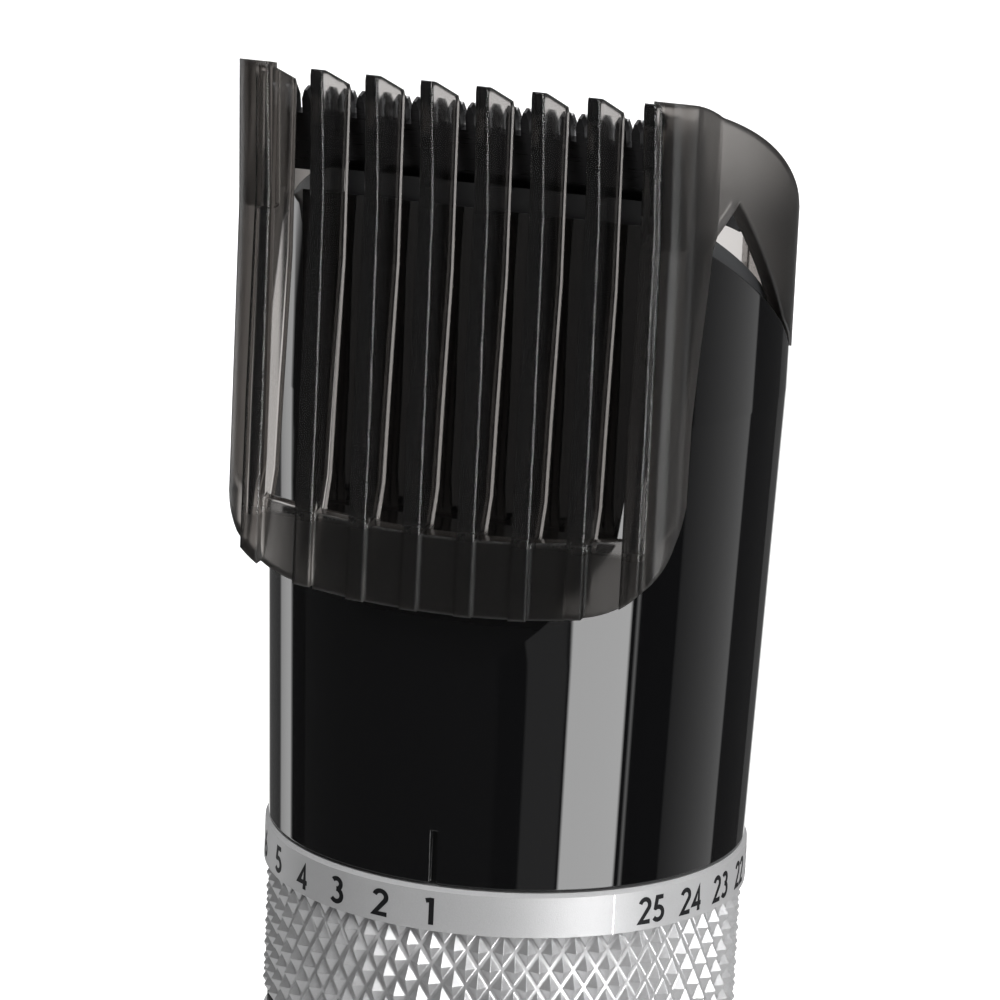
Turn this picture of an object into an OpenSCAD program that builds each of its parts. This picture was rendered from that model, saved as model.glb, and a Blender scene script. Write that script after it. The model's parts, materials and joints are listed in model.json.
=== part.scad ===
// Cordless hair clipper: a cylindrical handle, a numbered zoom ring, and a toothed length comb.
// The handle stands on its base. +Z runs up the clipper, the front faces -Y, and the origin is
// the centre of the base's rest face. Drawn at length setting 1, with the comb at its lowest.

/* [Handle] */

// Height of the base cap
cap_h = 6; // [4:0.5:12]
// Length of the metal handle sleeve
sleeve_h = 83; // [75:1:110]
// Outer radius of the handle sleeve, over its knurl
grip_r = 22.9; // [21.5:0.1:25]
// Wall of the handle sleeve
sleeve_wall = 1.8; // [1.2:0.1:2.5]
// Height of the rubber seal between handle and zoom ring
seal_h = 2; // [1:0.1:4]
// Wall of the chassis in the handle
chassis_wall = 1.8; // [1.2:0.1:3]

/* [Power switch] */

// Height of the switch above the base
switch_z = 30; // [26:1:40]
// Width of the switch opening
switch_w = 9; // [6:0.5:12]
// Length of the switch opening
switch_l = 20; // [16:1:26]
// Travel of the switch slider
switch_travel = 4; // [2:0.5:6]

/* [Zoom ring] */

// Radius of the numbered band
band_r = 23; // [22:0.1:25]
// Height of the numbered band
band_h = 4.2; // [3:0.1:8]
// Bevel at the band's upper edge
band_bevel = 0.35; // [0.1:0.05:1]
// Height of the ring below the band
collar_h = 13.5; // [10:0.5:20]
// Number of length settings
settings = 25; // [5:1:30]
// Angle that the numbers take from first to last
number_arc = 306.3; // [240:0.1:330]
// Diamonds around the knurl
knurl_count = 62; // [40:1:90]
// Height of one row of diamonds
knurl_row = 1.75; // [1.2:0.05:3]
// Rows of diamonds
knurl_rows = 7; // [4:1:10]
// Depth of the knurl
knurl_depth = 0.95; // [0.4:0.05:1.5]

/* [Zoom drive] */

// Travel of the comb over all settings
zoom_travel = 24; // [12:1:26]
// Outer radius of the cam drum
drum_r = 16.9; // [16:0.1:17.5]
// Depth of the helical groove
groove_depth = 1.8; // [1:0.1:2.4]
// Diameter of the follower pin
pin_d = 2.4; // [1.6:0.1:3.2]
// Gap between the pin and each wall of the groove
pin_gap = 0.3; // [0.1:0.05:0.5]
// Height of the pin's centre above the foot of the zoom ring at setting 1
pin_z = 8.6; // [7.5:0.1:10]
// Half angle of the carriage's curved bar
bar_half = 22; // [16:1:30]
// Thickness of the carriage's curved bar
bar_t = 1.8; // [1.2:0.1:2]

/* [Neck] */

// Radius of the neck where it leaves the zoom ring
neck_r = 22.7; // [22:0.1:24]
// Radius of the neck at its top
neck_top_r = 24.3; // [23:0.1:25]
// Height over which the neck widens
flare_h = 44; // [30:1:47]
// Wall of the neck
neck_wall = 1.8; // [1.2:0.1:2]
// Height of the neck's front edge above the zoom ring
neck_front = 62.8; // [58:0.1:66]
// Slope of the neck's oblique top, as a fall in height for each unit of depth
rim_slope = 0.67; // [0.4:0.01:0.8]
// Height of the level rear part of the neck's top
rim_rear = 47.4; // [45:0.1:50]
// Height of the matte band on the neck's rim
rim_band = 2.4; // [1:0.1:4]
// Width of the index mark
mark_w = 0.7; // [0.3:0.1:2]
// Height of the index mark
mark_h = 5.2; // [2:0.1:8]

/* [Length comb] */

// Number of comb teeth, with the two in the side walls
tines = 8; // [4:1:12]
// Spacing of the comb teeth
tine_pitch = 5.16; // [4:0.02:6]
// Width of a comb tooth at its tip
tine_tip_w = 1.15; // [0.8:0.05:2]
// Width of a comb tooth at its root
tine_root_w = 1.65; // [1:0.05:2.5]
// Height of the tips above the zoom ring
tip_z = 75.8; // [70:0.1:84]
// Distance of the tips in front of the panel's face
tip_out = 1.35; // [0.5:0.05:2.5]
// Height of the lower edge of the comb's front panel
apron_z = 26.8; // [20:0.1:30]
// Height of the front panel at its middle
apron_h = 7.2; // [4:0.1:12]
// Thickness of the front panel
apron_t = 2.2; // [1.2:0.1:3]
// Distance of the front panel's face in front of the neck's top radius
apron_out = 1.15; // [0.8:0.05:2]
// Height of the comb's rear shell above the zoom ring
comb_back = 61; // [60:0.5:63]
// Wall of the comb's side walls and rear shell
shell_t = 1.3; // [1:0.1:2]
// Corner radius in plan, between front and side
plan_corner = 3.4; // [2:0.1:5]
// Corner radius in the front view, at the foot of the side walls
foot_corner = 9.5; // [3:0.5:11]

/* [Blades] */

// Lean of the blades to the front
blade_tilt = 15; // [5:1:30]
// Half width of the fixed blade
blade_half = 18.6; // [14:0.1:19]
// Spacing of the blade teeth
tooth_pitch = 1.3; // [1:0.05:2.5]
// Length of the blade teeth
tooth_l = 2.3; // [2:0.1:5]
// Width of a blade tooth
tooth_w = 0.8; // [0.5:0.05:1.2]
// Thickness of the fixed blade
fixed_t = 1.1; // [0.6:0.1:1.6]
// Thickness of the cutter
cutter_t = 0.9; // [0.5:0.1:1.4]
// Travel of the cutter to each side
cutter_stroke = 1.25; // [0.5:0.05:1.6]
// Radius of the eccentric's pin, which works in the yoke's fork
crank_r = 1.2; // [0.9:0.05:1.3]

/* [Motor] */

// Radius of the motor can
motor_r = 12; // [10:0.1:12.2]
// Length of the motor can
motor_l = 30; // [20:1:32]
// Radius of the motor shaft
shaft_r = 1; // [0.75:0.05:1.5]
// Radius of the eccentric's hub
hub_r = 3.6; // [3.2:0.1:4]

/* [Battery] */

// Radius of the cell
cell_r = 9.2; // [7:0.1:9.3]
// Length of the handle that the cell leaves free, below and above it
cell_room = 18; // [18:1:38]

/* [Charging] */

// Radius of the charging bore
jack_r = 1.8; // [1.2:0.05:2.6]
// Depth of the charging bore
jack_l = 11; // [8:0.5:12]

/* [Output] */

// Sub-part to draw

/* [Hidden] */

$fn = 96;
e = 0.01;
gap = 0.3;                     // free air between two bodies
fit = 0.1;                     // running fit, on the radius
slack = 0.2;                   // air round a piece that is set into another
seal_z = cap_h + sleeve_h;
foot_z = seal_z + seal_h + gap;                  // foot of the zoom ring
zr = foot_z + collar_h + band_h;                 // top of the numbered band
step_deg = number_arc / (settings - 1);
front_y = neck_top_r - 6.9;                      // neck's flat front at its top
shell_r = neck_top_r + 0.2;                      // comb's rear shell
flank_at = 12;                                   // centre of a flank's curve, past the axis
side_curve = shell_r + flank_at;                 // comb's flanks in plan
flank_y = 14.4;                                  // where the flanks meet the side walls
side_x = neck_top_r - 2.8;                       // comb's half width over its side walls
apron_y = neck_top_r + apron_out;
tip_y = apron_y + tip_out;
foot_rise = 1;                                   // the front's arc, where its corners begin
crown_r = 66.3;                                  // comb's top edge in the side view
crown_y = -tip_y - 10.7;
crown_z = tip_z - 65.2;
crown_turn = crown_y + sqrt(pow(crown_r, 2) - pow(comb_back - crown_z, 2));
sleeve_in = grip_r - sleeve_wall;                // bore of the handle sleeve
chassis_r = sleeve_in - slack;                   // chassis inside the sleeve
chassis_in = chassis_r - chassis_wall;
tube_in = motor_r + 0.5;                         // bore of the chassis's upper tube
tube_r = tube_in + 1.6;
drum_in = tube_r + fit;
floor_r = drum_r - groove_depth;
bar_r = drum_r + 0.4;                            // inside of the carriage's bar
skirt_in = bar_r + bar_t + 0.4;
skirt_r = skirt_in + 1.35;                       // neck's skirt inside the zoom ring
ring_in = skirt_r + fit;
liner_r = ring_in + 0.5;
knurl_h = knurl_row * knurl_rows;
groove_w = (pin_d + 2 * pin_gap) / 0.972;        // 0.972: the pin crosses the groove on a slant
follow_z = foot_z + pin_z;
drum_top = follow_z + zoom_travel + groove_w / 2 + 1.6;
deck_z = drum_top + gap;                         // underside of the neck's inner flange
flange_t = 3;
nut_h = 2.5;
motor_z = zr + 12;
motor_top = motor_z + motor_l;
plate_screw_at = 8.5;                            // motor's front screws, from the axis
hub_z = motor_top + 3;
hub_h = 6;
pin_top = zr + 62;                               // top of the eccentric's pin
blade_y = tip_y - 8.9;                           // blade tips, behind the comb teeth
blade_z = tip_z - 3.8;
blade_drop = 14;
wide_drop = 8;
riser_y = blade_y - 7.1;                         // yoke's riser, behind the blades
arm_z = pin_top - 2.8;                           // yoke's arm round the eccentric's pin
blade_low = 14;                                  // half width of the blade's lower part
lug_x = 18.5;
seat = 0.3;                                      // spot faces of the frame's screws
crank_reach = crank_r + cutter_stroke;           // sweep of the eccentric's pin from the axis
fork_half = crank_reach + gap;                   // so that pin and yoke can each move alone
arm_half = fork_half + 2;
arm_end = cutter_stroke + 0.75;
jack_y = 11;
screw_x = 13;
boss_r = 2.6;
cell_y = 5;
cell_l = sleeve_h - cell_room;
cell_z = seal_z - cell_l - 4;                    // the tray hangs from the chassis's top
board_y = -15.2;
claw_half = 6;                                   // carriage's claw
claw_h = 3.6;
lid_t = 1.5;                                     // comb's lid over the claw
claw_z = comb_back - lid_t - claw_h - 0.3;
shoe_half = 52;                                  // half angle of the claw's curved shoe
shoe_t = 2.2;
shoe_h = 2.6;

// ---- shared shapes ----

module tube(r_out, r_in, h) {
    difference() {
        cylinder(r = r_out, h = h);
        translate([0, 0, -1])
            cylinder(r = r_in, h = h + 2);
    }
}

// A side view, drawn as [y, z] points, carried across the whole width.
module side_view(width = 80) {
    rotate([90, 0, 90])
        linear_extrude(height = width, center = true)
            children();
}

// A front view, drawn as [x, z] points, carried through the whole depth.
module front_view(depth = 80) {
    rotate([90, 0, 0])
        linear_extrude(height = depth, center = true)
            children();
}

// A wedge of angle 2 * half about +Y, out to radius 40.
module rear_wedge(half) {
    polygon([[0, 0], [-40 * tan(half), 40], [40 * tan(half), 40]]);
}

// Height of the neck's oblique rim above the zoom ring, at depth y.
function rim_at(y) = max(rim_rear, neck_front - rim_slope * (y + front_y));
// Depth at which the oblique rim turns level.
rim_turn = (neck_front - rim_rear) / rim_slope - front_y;

// Everything below the rim raised by up, as a side view.
module below_rim(up, low = -40) {
    polygon([
        [-40, low],
        [40, low],
        [40, rim_rear + up],
        [rim_turn, rim_rear + up],
        [-40, neck_front + up + rim_slope * (40 - front_y)]
    ]);
}

// ---- handle ----

module cap_screw_holes(r, h, z) {
    for (x = [-screw_x, screw_x])
        translate([x, -4, z])
            cylinder(r = r, h = h);
}

module base_cap() {
    color("#18191b")
    difference() {
        union() {
            rotate_extrude()
                polygon([
                    [0, 0],
                    [grip_r - 2.5, 0],
                    [grip_r - 1, 1.5],
                    [grip_r - 1, cap_h],
                    [chassis_in - slack, cap_h],
                    [chassis_in - slack, cap_h + 7],
                    [chassis_in - slack - 2, cap_h + 7],
                    [chassis_in - slack - 2, 2.4],
                    [0, 2.4]
                ]);
            for (x = [-screw_x, screw_x])
                translate([x, -4, 1])
                    cylinder(r = boss_r, h = cap_h + 4);
            translate([0, jack_y, 1])
                cylinder(r = 5.4, h = cap_h + 1);
        }
        cap_screw_holes(1.1, 20, -1);
        cap_screw_holes(2.2, 2.6, -1);
        translate([0, jack_y, -1])
            cylinder(r = 4.05, h = 20);
    }
}

module charging_jack() {
    color("#9a9da1")
    translate([0, jack_y, 0.4])
        difference() {
            union() {
                cylinder(r = 4, h = jack_l + 1.2);
                translate([0, 0, cap_h + 1.6])
                    cylinder(r = 5, h = 1.4);
            }
            translate([0, 0, -1])
                cylinder(r = jack_r, h = jack_l + 1);
        }
}

module base_screws() {
    color("#a9acb0")
    for (x = [-screw_x, screw_x])
        translate([x, -4, 0.4])
            difference() {
                union() {
                    cylinder(r = 2.1, h = 1.2);
                    cylinder(r = 1.05, h = 13);
                }
                translate([0, 0, -0.5])
                    linear_extrude(height = 1)
                        for (a = [0, 90])
                            rotate(a)
                                square([2.2, 0.5], center = true);
            }
}

module handle_sleeve() {
    color("#c3c5c8")
    translate([0, 0, cap_h])
        difference() {
            union() {
                cylinder(r = grip_r - 0.25, h = sleeve_h);
                translate([0, 0, sleeve_h / 2 + 1.5])
                    cylinder(r = grip_r, h = sleeve_h / 2 - 2.5);
            }
            translate([0, 0, -1])
                cylinder(r = sleeve_in, h = sleeve_h + 2);
            translate([-switch_w / 2, -30, switch_z - cap_h - switch_l / 2])
                cube([switch_w, 20, switch_l]);
            translate([0, -30, switch_z - cap_h + switch_l / 2 + 5])
                rotate([-90, 0, 0])
                    cylinder(r = 1.3, h = 20);
        }
}

module chassis() {
    color("#2a2c2f")
    difference() {
        union() {
            // tube inside the handle
            translate([0, 0, cap_h + e])
                difference() {
                    cylinder(r = chassis_r, h = sleeve_h - e);
                    translate([0, 0, -1])
                        cylinder(r = chassis_in, h = sleeve_h - 2.5);
                }
            // tube through the cam drum to the motor
            translate([0, 0, seal_z - 1])
                cylinder(r = tube_r, h = deck_z - seal_z + 1);
            translate([0, 0, seal_z - 1])
                cylinder(r = tube_r - 0.7, h = motor_top + 3 - seal_z);
            // bosses for the base screws
            for (x = [-screw_x, screw_x])
                translate([x, -4, cap_h + 5.3])
                    difference() {
                        cylinder(r = boss_r, h = 9);
                        translate([0, 0, -1])
                            cylinder(r = 1.1, h = 4);
                    }
            for (s = [-1, 1])
                translate([s * (screw_x + 4) - 2, -5, cap_h + 7.5])
                    cube([4, 2, 6.8]);
            // ledge below the motor
            translate([0, 0, motor_z - 3])
                cylinder(r = tube_in + 0.5, h = 3);
        }
        // the bore, above and below the motor's ledge
        translate([0, 0, motor_z])
            cylinder(r = tube_in, h = motor_l + 10);
        translate([0, 0, seal_z - 5])
            cylinder(r = tube_in, h = motor_z - 3 - seal_z + 5);
        translate([0, 0, motor_z - 5])
            cylinder(r = 6, h = 10);
        // openings for the switch and the light
        translate([-switch_w / 2 + 1.5, -30, switch_z - switch_l / 2 + 2])
            cube([switch_w - 3, 20, switch_l - 4]);
        translate([0, -30, switch_z + switch_l / 2 + 5])
            rotate([-90, 0, 0])
                cylinder(r = 1.3, h = 20);
    }
}

module seal_ring() {
    color("#101112")
    translate([0, 0, seal_z])
        tube(grip_r - 0.7, chassis_r - 2.4, seal_h);
}

module detent_spring() {
    color("#b9bcc0")
    translate([0, 0, seal_z]) {
        difference() {
            cylinder(r = chassis_r - 2.6, h = 0.4);
            translate([0, 0, -1])
                cylinder(r = tube_r + 0.4, h = 3);
            translate([0, 0, -1])
                linear_extrude(height = 3)
                    rotate(180)
                        rear_wedge(30);
        }
        translate([0, tube_r + 2.2, 0.3])
            cylinder(r1 = 0.9, r2 = 0.5, h = seal_h - 0.3);
    }
}

// ---- battery and board ----

module battery() {
    color("#2f6f8f")
    translate([0, cell_y, cell_z]) {
        cylinder(r = cell_r, h = cell_l - 0.8);
        translate([0, 0, cell_l - 1])
            cylinder(r = 3, h = 1);
    }
}

module battery_tray() {
    color("#3a3d40")
    translate([0, cell_y, cell_z - 2.4])
        difference() {
            intersection() {
                cylinder(r = cell_r + 1.5, h = cell_l + 2.4);
                translate([-20, 0.5, 0])
                    cube([40, 40, 100]);
                translate([0, -cell_y, 0])
                    cylinder(r = chassis_in - 0.1, h = 100);
            }
            translate([0, 0, 2.4])
                cylinder(r = cell_r + 0.1, h = cell_l + 1);
            // seat of the lower contact
            translate([0, 0, 1.2])
                cylinder(r = 4.2, h = 2);
            translate([0, 0, -1])
                cylinder(r = 2, h = 5);
        }
}

module contact_minus() {
    color("#c8a24a")
    translate([0, cell_y, cell_z - 1.2]) {
        cylinder(r = 4, h = 0.4);
        cylinder(r1 = 3.2, r2 = 1.6, h = 1.2);
        translate([-1.5, -11, 0])
            cube([3, 11, 0.4]);
    }
}

module contact_plus() {
    color("#c8a24a")
    translate([0, cell_y, cell_z + cell_l]) {
        cylinder(r = 3.2, h = 0.5);
        translate([-1.5, -11, 0])
            cube([3, 11, 0.5]);
    }
}

module circuit_board() {
    color("#1d6b3a")
    translate([-10, board_y, cap_h + 10])
        difference() {
            cube([20, 1.2, sleeve_h - 20]);
            for (z = [4, sleeve_h - 24])
                translate([10, -1, z])
                    rotate([-90, 0, 0])
                        cylinder(r = 1, h = 4);
        }
    // parts on the board
    color("#111213")
    translate([0, board_y + 1.2, 0]) {
        translate([-4, -e, 52])
            cube([8, 1.6, 8]);
        translate([-7, -e, 38])
            cube([5, 1.4, 4]);
        translate([3, -e, 64])
            cube([4, 2, 6]);
    }
}

module board_switch() {
    color("#8f9296")
    translate([-3, board_y - 1.6, switch_z - 5]) {
        cube([6, 1.6, 10]);
    }
}

module switch_bezel() {
    color("#0c0d0e")
    difference() {
        intersection() {
            translate([-switch_w / 2 + 0.1, -30, switch_z - switch_l / 2 + 0.1])
                cube([switch_w - 0.2, 30 - chassis_r + 1.8, switch_l - 0.2]);
            cylinder(r = grip_r, h = 100);
        }
        cylinder(r = chassis_r + 0.05, h = 100);
        translate([-switch_w / 2 + 1.5, -30, switch_z - switch_l / 2 + 2])
            cube([switch_w - 3, 30, switch_l - 4]);
    }
}

module power_switch() {
    // the slider, at its lower end with the clipper off
    low = switch_z - switch_l / 2 + 2 + gap;
    len = switch_l - 4 - 2 * gap - switch_travel;
    color("#d0d2d5")
    intersection() {
        union() {
            difference() {
                translate([-switch_w / 2 + 1.8, -grip_r - 1.3, low])
                    cube([switch_w - 3.6, 4, len]);
                for (i = [0 : 3])
                    translate([-10, -grip_r - 1.5, low + len / 2 - 3 + i * 1.8])
                        cube([20, 0.8, 0.6]);
            }
            translate([-1.6, -grip_r + 1, low + 1])
                cube([3.2, grip_r + board_y - 1.6 - gap - 1, len - 2]);
        }
        cylinder(r = grip_r + 1.2, h = 100);
    }
}

module charge_light() {
    color("#dfe6ea")
    translate([0, -grip_r + 0.1, switch_z + switch_l / 2 + 5])
        rotate([-90, 0, 0])
            cylinder(r = 1.2, h = grip_r + board_y - 0.4);
}

// ---- zoom ring ----

module number_ring() {
    color("#c9cbce")
    translate([0, 0, foot_z])
        difference() {
            rotate_extrude()
                polygon([
                    [drum_in + 0.4, 0],
                    [liner_r, 0],
                    [liner_r, collar_h],
                    [band_r, collar_h],
                    [band_r, collar_h + band_h - band_bevel],
                    [band_r - band_bevel, collar_h + band_h],
                    [ring_in, collar_h + band_h],
                    [ring_in, 2],
                    [drum_in + 0.4, 2]
                ]);
            // click notches under the web, one for each setting
            for (i = [0 : settings - 1])
                rotate(90 - i * step_deg)
                    translate([tube_r + 2.2, 0, -0.6])
                        cylinder(r1 = 1.3, r2 = 0.6, h = 1.2);
        }
}

// Radius of the knurl at column i of ring j: points and hollows take turns, and the end rings are plain.
function knurl_at(i, j) =
    j == 0 || j == knurl_rows + 2
        ? grip_r - knurl_depth
        : grip_r - knurl_depth * ((i + j) % 2);

// One closed shell: rings of points outside, a plain ring top and bottom inside.
module knurl_grip() {
    cols = 2 * knurl_count;
    rim = (collar_h - 0.05 - knurl_h) / 2;
    bore = liner_r + 0.03;
    levels = [
        for (j = [0 : knurl_rows + 2])
            j == 0 ? 0 : j == knurl_rows + 2 ? collar_h - 0.05 : rim + (j - 1) * knurl_row
    ];
    base = (knurl_rows + 3) * cols;
    color("#bfc1c4")
    translate([0, 0, foot_z])
        polyhedron(
            points = [
                for (j = [0 : knurl_rows + 2], i = [0 : cols - 1])
                    [
                        knurl_at(i, j) * cos(i * 360 / cols),
                        knurl_at(i, j) * sin(i * 360 / cols),
                        levels[j]
                    ],
                for (z = [0, collar_h - 0.05], i = [0 : cols - 1])
                    [bore * cos(i * 360 / cols), bore * sin(i * 360 / cols), z]
            ],
            faces = [
                for (j = [0 : knurl_rows + 1], i = [0 : cols - 1])
                    let (a = j * cols + i, b = j * cols + (i + 1) % cols)
                        (i + j) % 2 == 0 ? [a, a + cols, b] : [a, a + cols, b + cols],
                for (j = [0 : knurl_rows + 1], i = [0 : cols - 1])
                    let (a = j * cols + i, b = j * cols + (i + 1) % cols)
                        (i + j) % 2 == 0 ? [a + cols, b + cols, b] : [a, b + cols, b],
                for (i = [0 : cols - 1])
                    let (k = (i + 1) % cols)
                        [base + i, i, k, base + k],
                for (i = [0 : cols - 1])
                    let (k = (i + 1) % cols, t = base - cols, q = base + cols)
                        [q + k, t + k, t + i, q + i],
                for (i = [0 : cols - 1])
                    let (k = (i + 1) % cols, q = base + cols)
                        [base + k, q + k, q + i, base + i]
            ],
            convexity = 6
        );
}

module cam_drum() {
    rate = step_deg / (zoom_travel / (settings - 1));
    half = groove_w * rate / 2;
    color("#e3e4e2")
    translate([0, 0, foot_z + 2])
        difference() {
            union() {
                cylinder(r = drum_r, h = drum_top - foot_z - 2);
                cylinder(r = skirt_in - 0.2, h = 1.8);
            }
            translate([0, 0, -1])
                cylinder(r = drum_in, h = 80);
            // the helical groove for the carriage's pin
            translate([0, 0, pin_z - 2 - groove_w / 2])
                rotate(90 + half)
                    linear_extrude(
                        height = zoom_travel + groove_w,
                        twist = rate * (zoom_travel + groove_w),
                        slices = 64,
                        $fn = 12
                    )
                        polygon([
                            for (i = [-4 : 4])
                                floor_r * [cos(i * half / 4), sin(i * half / 4)],
                            for (i = [4 : -1 : -4])
                                (drum_r + 1.5) * [cos(i * half / 4), sin(i * half / 4)]
                        ]);
            // slots for the drive keys
            for (a = [0, 120, 240])
                rotate(a - 30)
                    translate([drum_r + 0.5, -1.05, -1])
                        cube([5, 2.1, 4]);
        }
}

module drum_key() {
    color("#8d9094")
    for (a = [0, 120, 240])
        rotate(a - 30)
            translate([drum_r + 0.6, -1, foot_z + 2])
                cube([skirt_in - drum_r - 0.9, 2, 1.8]);
}

// ---- carriage ----

module carriage() {
    color("#33363a")
    difference() {
        union() {
            // curved bar behind the drum
            translate([0, 0, follow_z - 2.4])
                linear_extrude(height = zr + claw_z + claw_h - follow_z + 2.4)
                    intersection() {
                        difference() {
                            circle(r = bar_r + bar_t);
                            circle(r = bar_r);
                        }
                        rear_wedge(bar_half);
                    }
            // follower pin
            translate([0, 0, follow_z])
                rotate([-90, 0, 0])
                    translate([0, 0, floor_r + gap])
                        cylinder(r = pin_d / 2, h = bar_r + bar_t / 2 - floor_r - gap);
            // claw that carries the comb, with a curved shoe inside the comb's rear shell
            intersection() {
                translate([-claw_half, bar_r + 0.3, zr + claw_z])
                    cube([2 * claw_half, 10, claw_h]);
                cylinder(r = shell_r - shell_t - gap, h = 300);
            }
            translate([0, 0, zr + claw_z + claw_h - shoe_h])
                linear_extrude(height = shoe_h)
                    intersection() {
                        difference() {
                            circle(r = shell_r - shell_t - gap);
                            circle(r = shell_r - shell_t - gap - shoe_t);
                        }
                        rear_wedge(shoe_half);
                    }
        }
        translate([0, 30, zr + claw_z - 5])
            rotate([90, 0, 0])
                cylinder(r = 2, h = 20);
    }
}

// ---- neck ----

// The neck's body moved inward by o, from height low upwards, with its flat front.
module neck_body(o, low) {
    difference() {
        union() {
            translate([0, 0, low])
                cylinder(r = neck_r - o, h = -low);
            cylinder(r1 = neck_r - o, r2 = neck_top_r - o, h = flare_h);
            translate([0, 0, flare_h])
                cylinder(r = neck_top_r - o, h = 40);
        }
        side_view()
            polygon([
                [-50, 21],
                [-neck_r - 0.85 + o, 21],
                [-front_y - 1.4 + o, 34],
                [-front_y + o, neck_front],
                [-front_y + o, 100],
                [-50, 100]
            ]);
    }
}

module neck_shell() {
    color("#08090a")
    translate([0, 0, zr])
        difference() {
            union() {
                // the visible shell, cut off along the oblique rim
                intersection() {
                    neck_body(0, -1);
                    side_view()
                        difference() {
                            below_rim(0);
                            translate([-50, -60])
                                square([100, 60 + gap]);
                        }
                }
                // skirt inside the zoom ring
                translate([0, 0, foot_z + 5.7 - zr])
                    cylinder(r = skirt_r, h = zr - foot_z - 5);
            }
            // hollow below and above the inner flange
            translate([0, 0, foot_z - zr])
                cylinder(r = skirt_in, h = deck_z - foot_z);
            difference() {
                neck_body(neck_wall, -1);
                translate([0, 0, -2])
                    cylinder(r = 40, h = deck_z + flange_t - zr + 2);
                for (s = [-1, 1])
                    translate([s * lug_x, 2, 0]) {
                        cylinder(r = 2, h = rim_at(4.5));
                        translate([s * 3 - 3, -1, 0])
                            cube([6, 2, rim_rear - 5]);
                    }
            }
            for (s = [-1, 1])
                translate([s * lug_x, 2, 40])
                    cylinder(r = 1.08, h = 20);
            translate([0, 0, -1])
                cylinder(r = tube_r - 0.65, h = 40);
            // slot in the flange for the carriage
            translate([0, 0, deck_z - zr - 1])
                linear_extrude(height = flange_t + 2)
                    intersection() {
                        difference() {
                            circle(r = bar_r + bar_t + 0.4);
                            circle(r = bar_r - 0.4);
                        }
                        rear_wedge(bar_half + 2);
                    }
            // index mark
            translate([-mark_w / 2, -neck_r - 1, gap - 0.1])
                cube([mark_w, 1.45, mark_h]);
        }
}

module neck_nut() {
    color("#2e3134")
    translate([0, 0, deck_z + flange_t])
        difference() {
            cylinder(r = bar_r - 1.2, h = nut_h);
            translate([0, 0, -1])
                cylinder(r = tube_r - 0.7 + 0.05, h = nut_h + 2);
            for (a = [0 : 60 : 300])
                rotate(a)
                    translate([bar_r - 1.2, 0, -1])
                        cylinder(r = 0.9, h = nut_h + 2);
        }
}

// ---- motor ----

module motor_can() {
    color("#b4b7bb")
    translate([0, 0, motor_z + 4])
        difference() {
            cylinder(r = motor_r, h = motor_l - 4);
            translate([0, 0, -1])
                cylinder(r = motor_r - 1.2, h = motor_l - 4);
            cylinder(r = 3, h = motor_l);
            for (a = [45 : 90 : 315])
                rotate(a)
                    translate([plate_screw_at, 0, 5])
                        cylinder(r = 1, h = motor_l);
        }
}

module motor_cap() {
    color("#3b3e41")
    translate([0, 0, motor_z]) {
        cylinder(r = motor_r, h = 4);
        translate([0, 0, 4])
            tube(motor_r - 1.3, motor_r - 2.5, 3);
        for (s = [-1, 1])
            translate([s * 4 - 0.6, -0.4, -2.4])
                cube([1.2, 0.8, 2.5]);
    }
}

module motor_plate() {
    color("#c4c6c9")
    translate([0, 0, motor_top])
        difference() {
            union() {
                cylinder(r = tube_in - 0.1, h = 1.2);
                cylinder(r = 3.2, h = 1.6);
            }
            translate([0, 0, -1])
                cylinder(r = shaft_r + 0.08, h = 4);
            for (a = [45 : 90 : 315])
                rotate(a)
                    translate([plate_screw_at, 0, -1])
                        cylinder(r = 1, h = 4);
        }
}

module plate_screws() {
    color("#9a9da1")
    for (a = [45 : 90 : 315])
        rotate(a)
            translate([plate_screw_at, 0, motor_top - 0.9]) {
                cylinder(r = 0.95, h = 2.3);
                translate([0, 0, 2.1])
                    cylinder(r = 1.6, h = 0.8);
            }
}

module motor_shaft() {
    color("#d8dadd")
    translate([0, 0, motor_z + 5])
        cylinder(r = shaft_r, h = hub_z + 4 - motor_z - 5);
    color("#6b4a2a")
    translate([0, 0, motor_z + 9])
        cylinder(r = motor_r - 3.4, h = motor_l - 14);
}

module eccentric() {
    color("#e8e9e6")
    difference() {
        union() {
            translate([0, 0, hub_z])
                cylinder(r = hub_r, h = hub_h);
            translate([0, cutter_stroke, hub_z + hub_h - e])
                cylinder(r = crank_r, h = pin_top - hub_z - hub_h);
        }
        translate([0, 0, hub_z - 1])
            cylinder(r = shaft_r, h = 5);
    }
}

// ---- head ----

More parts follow.
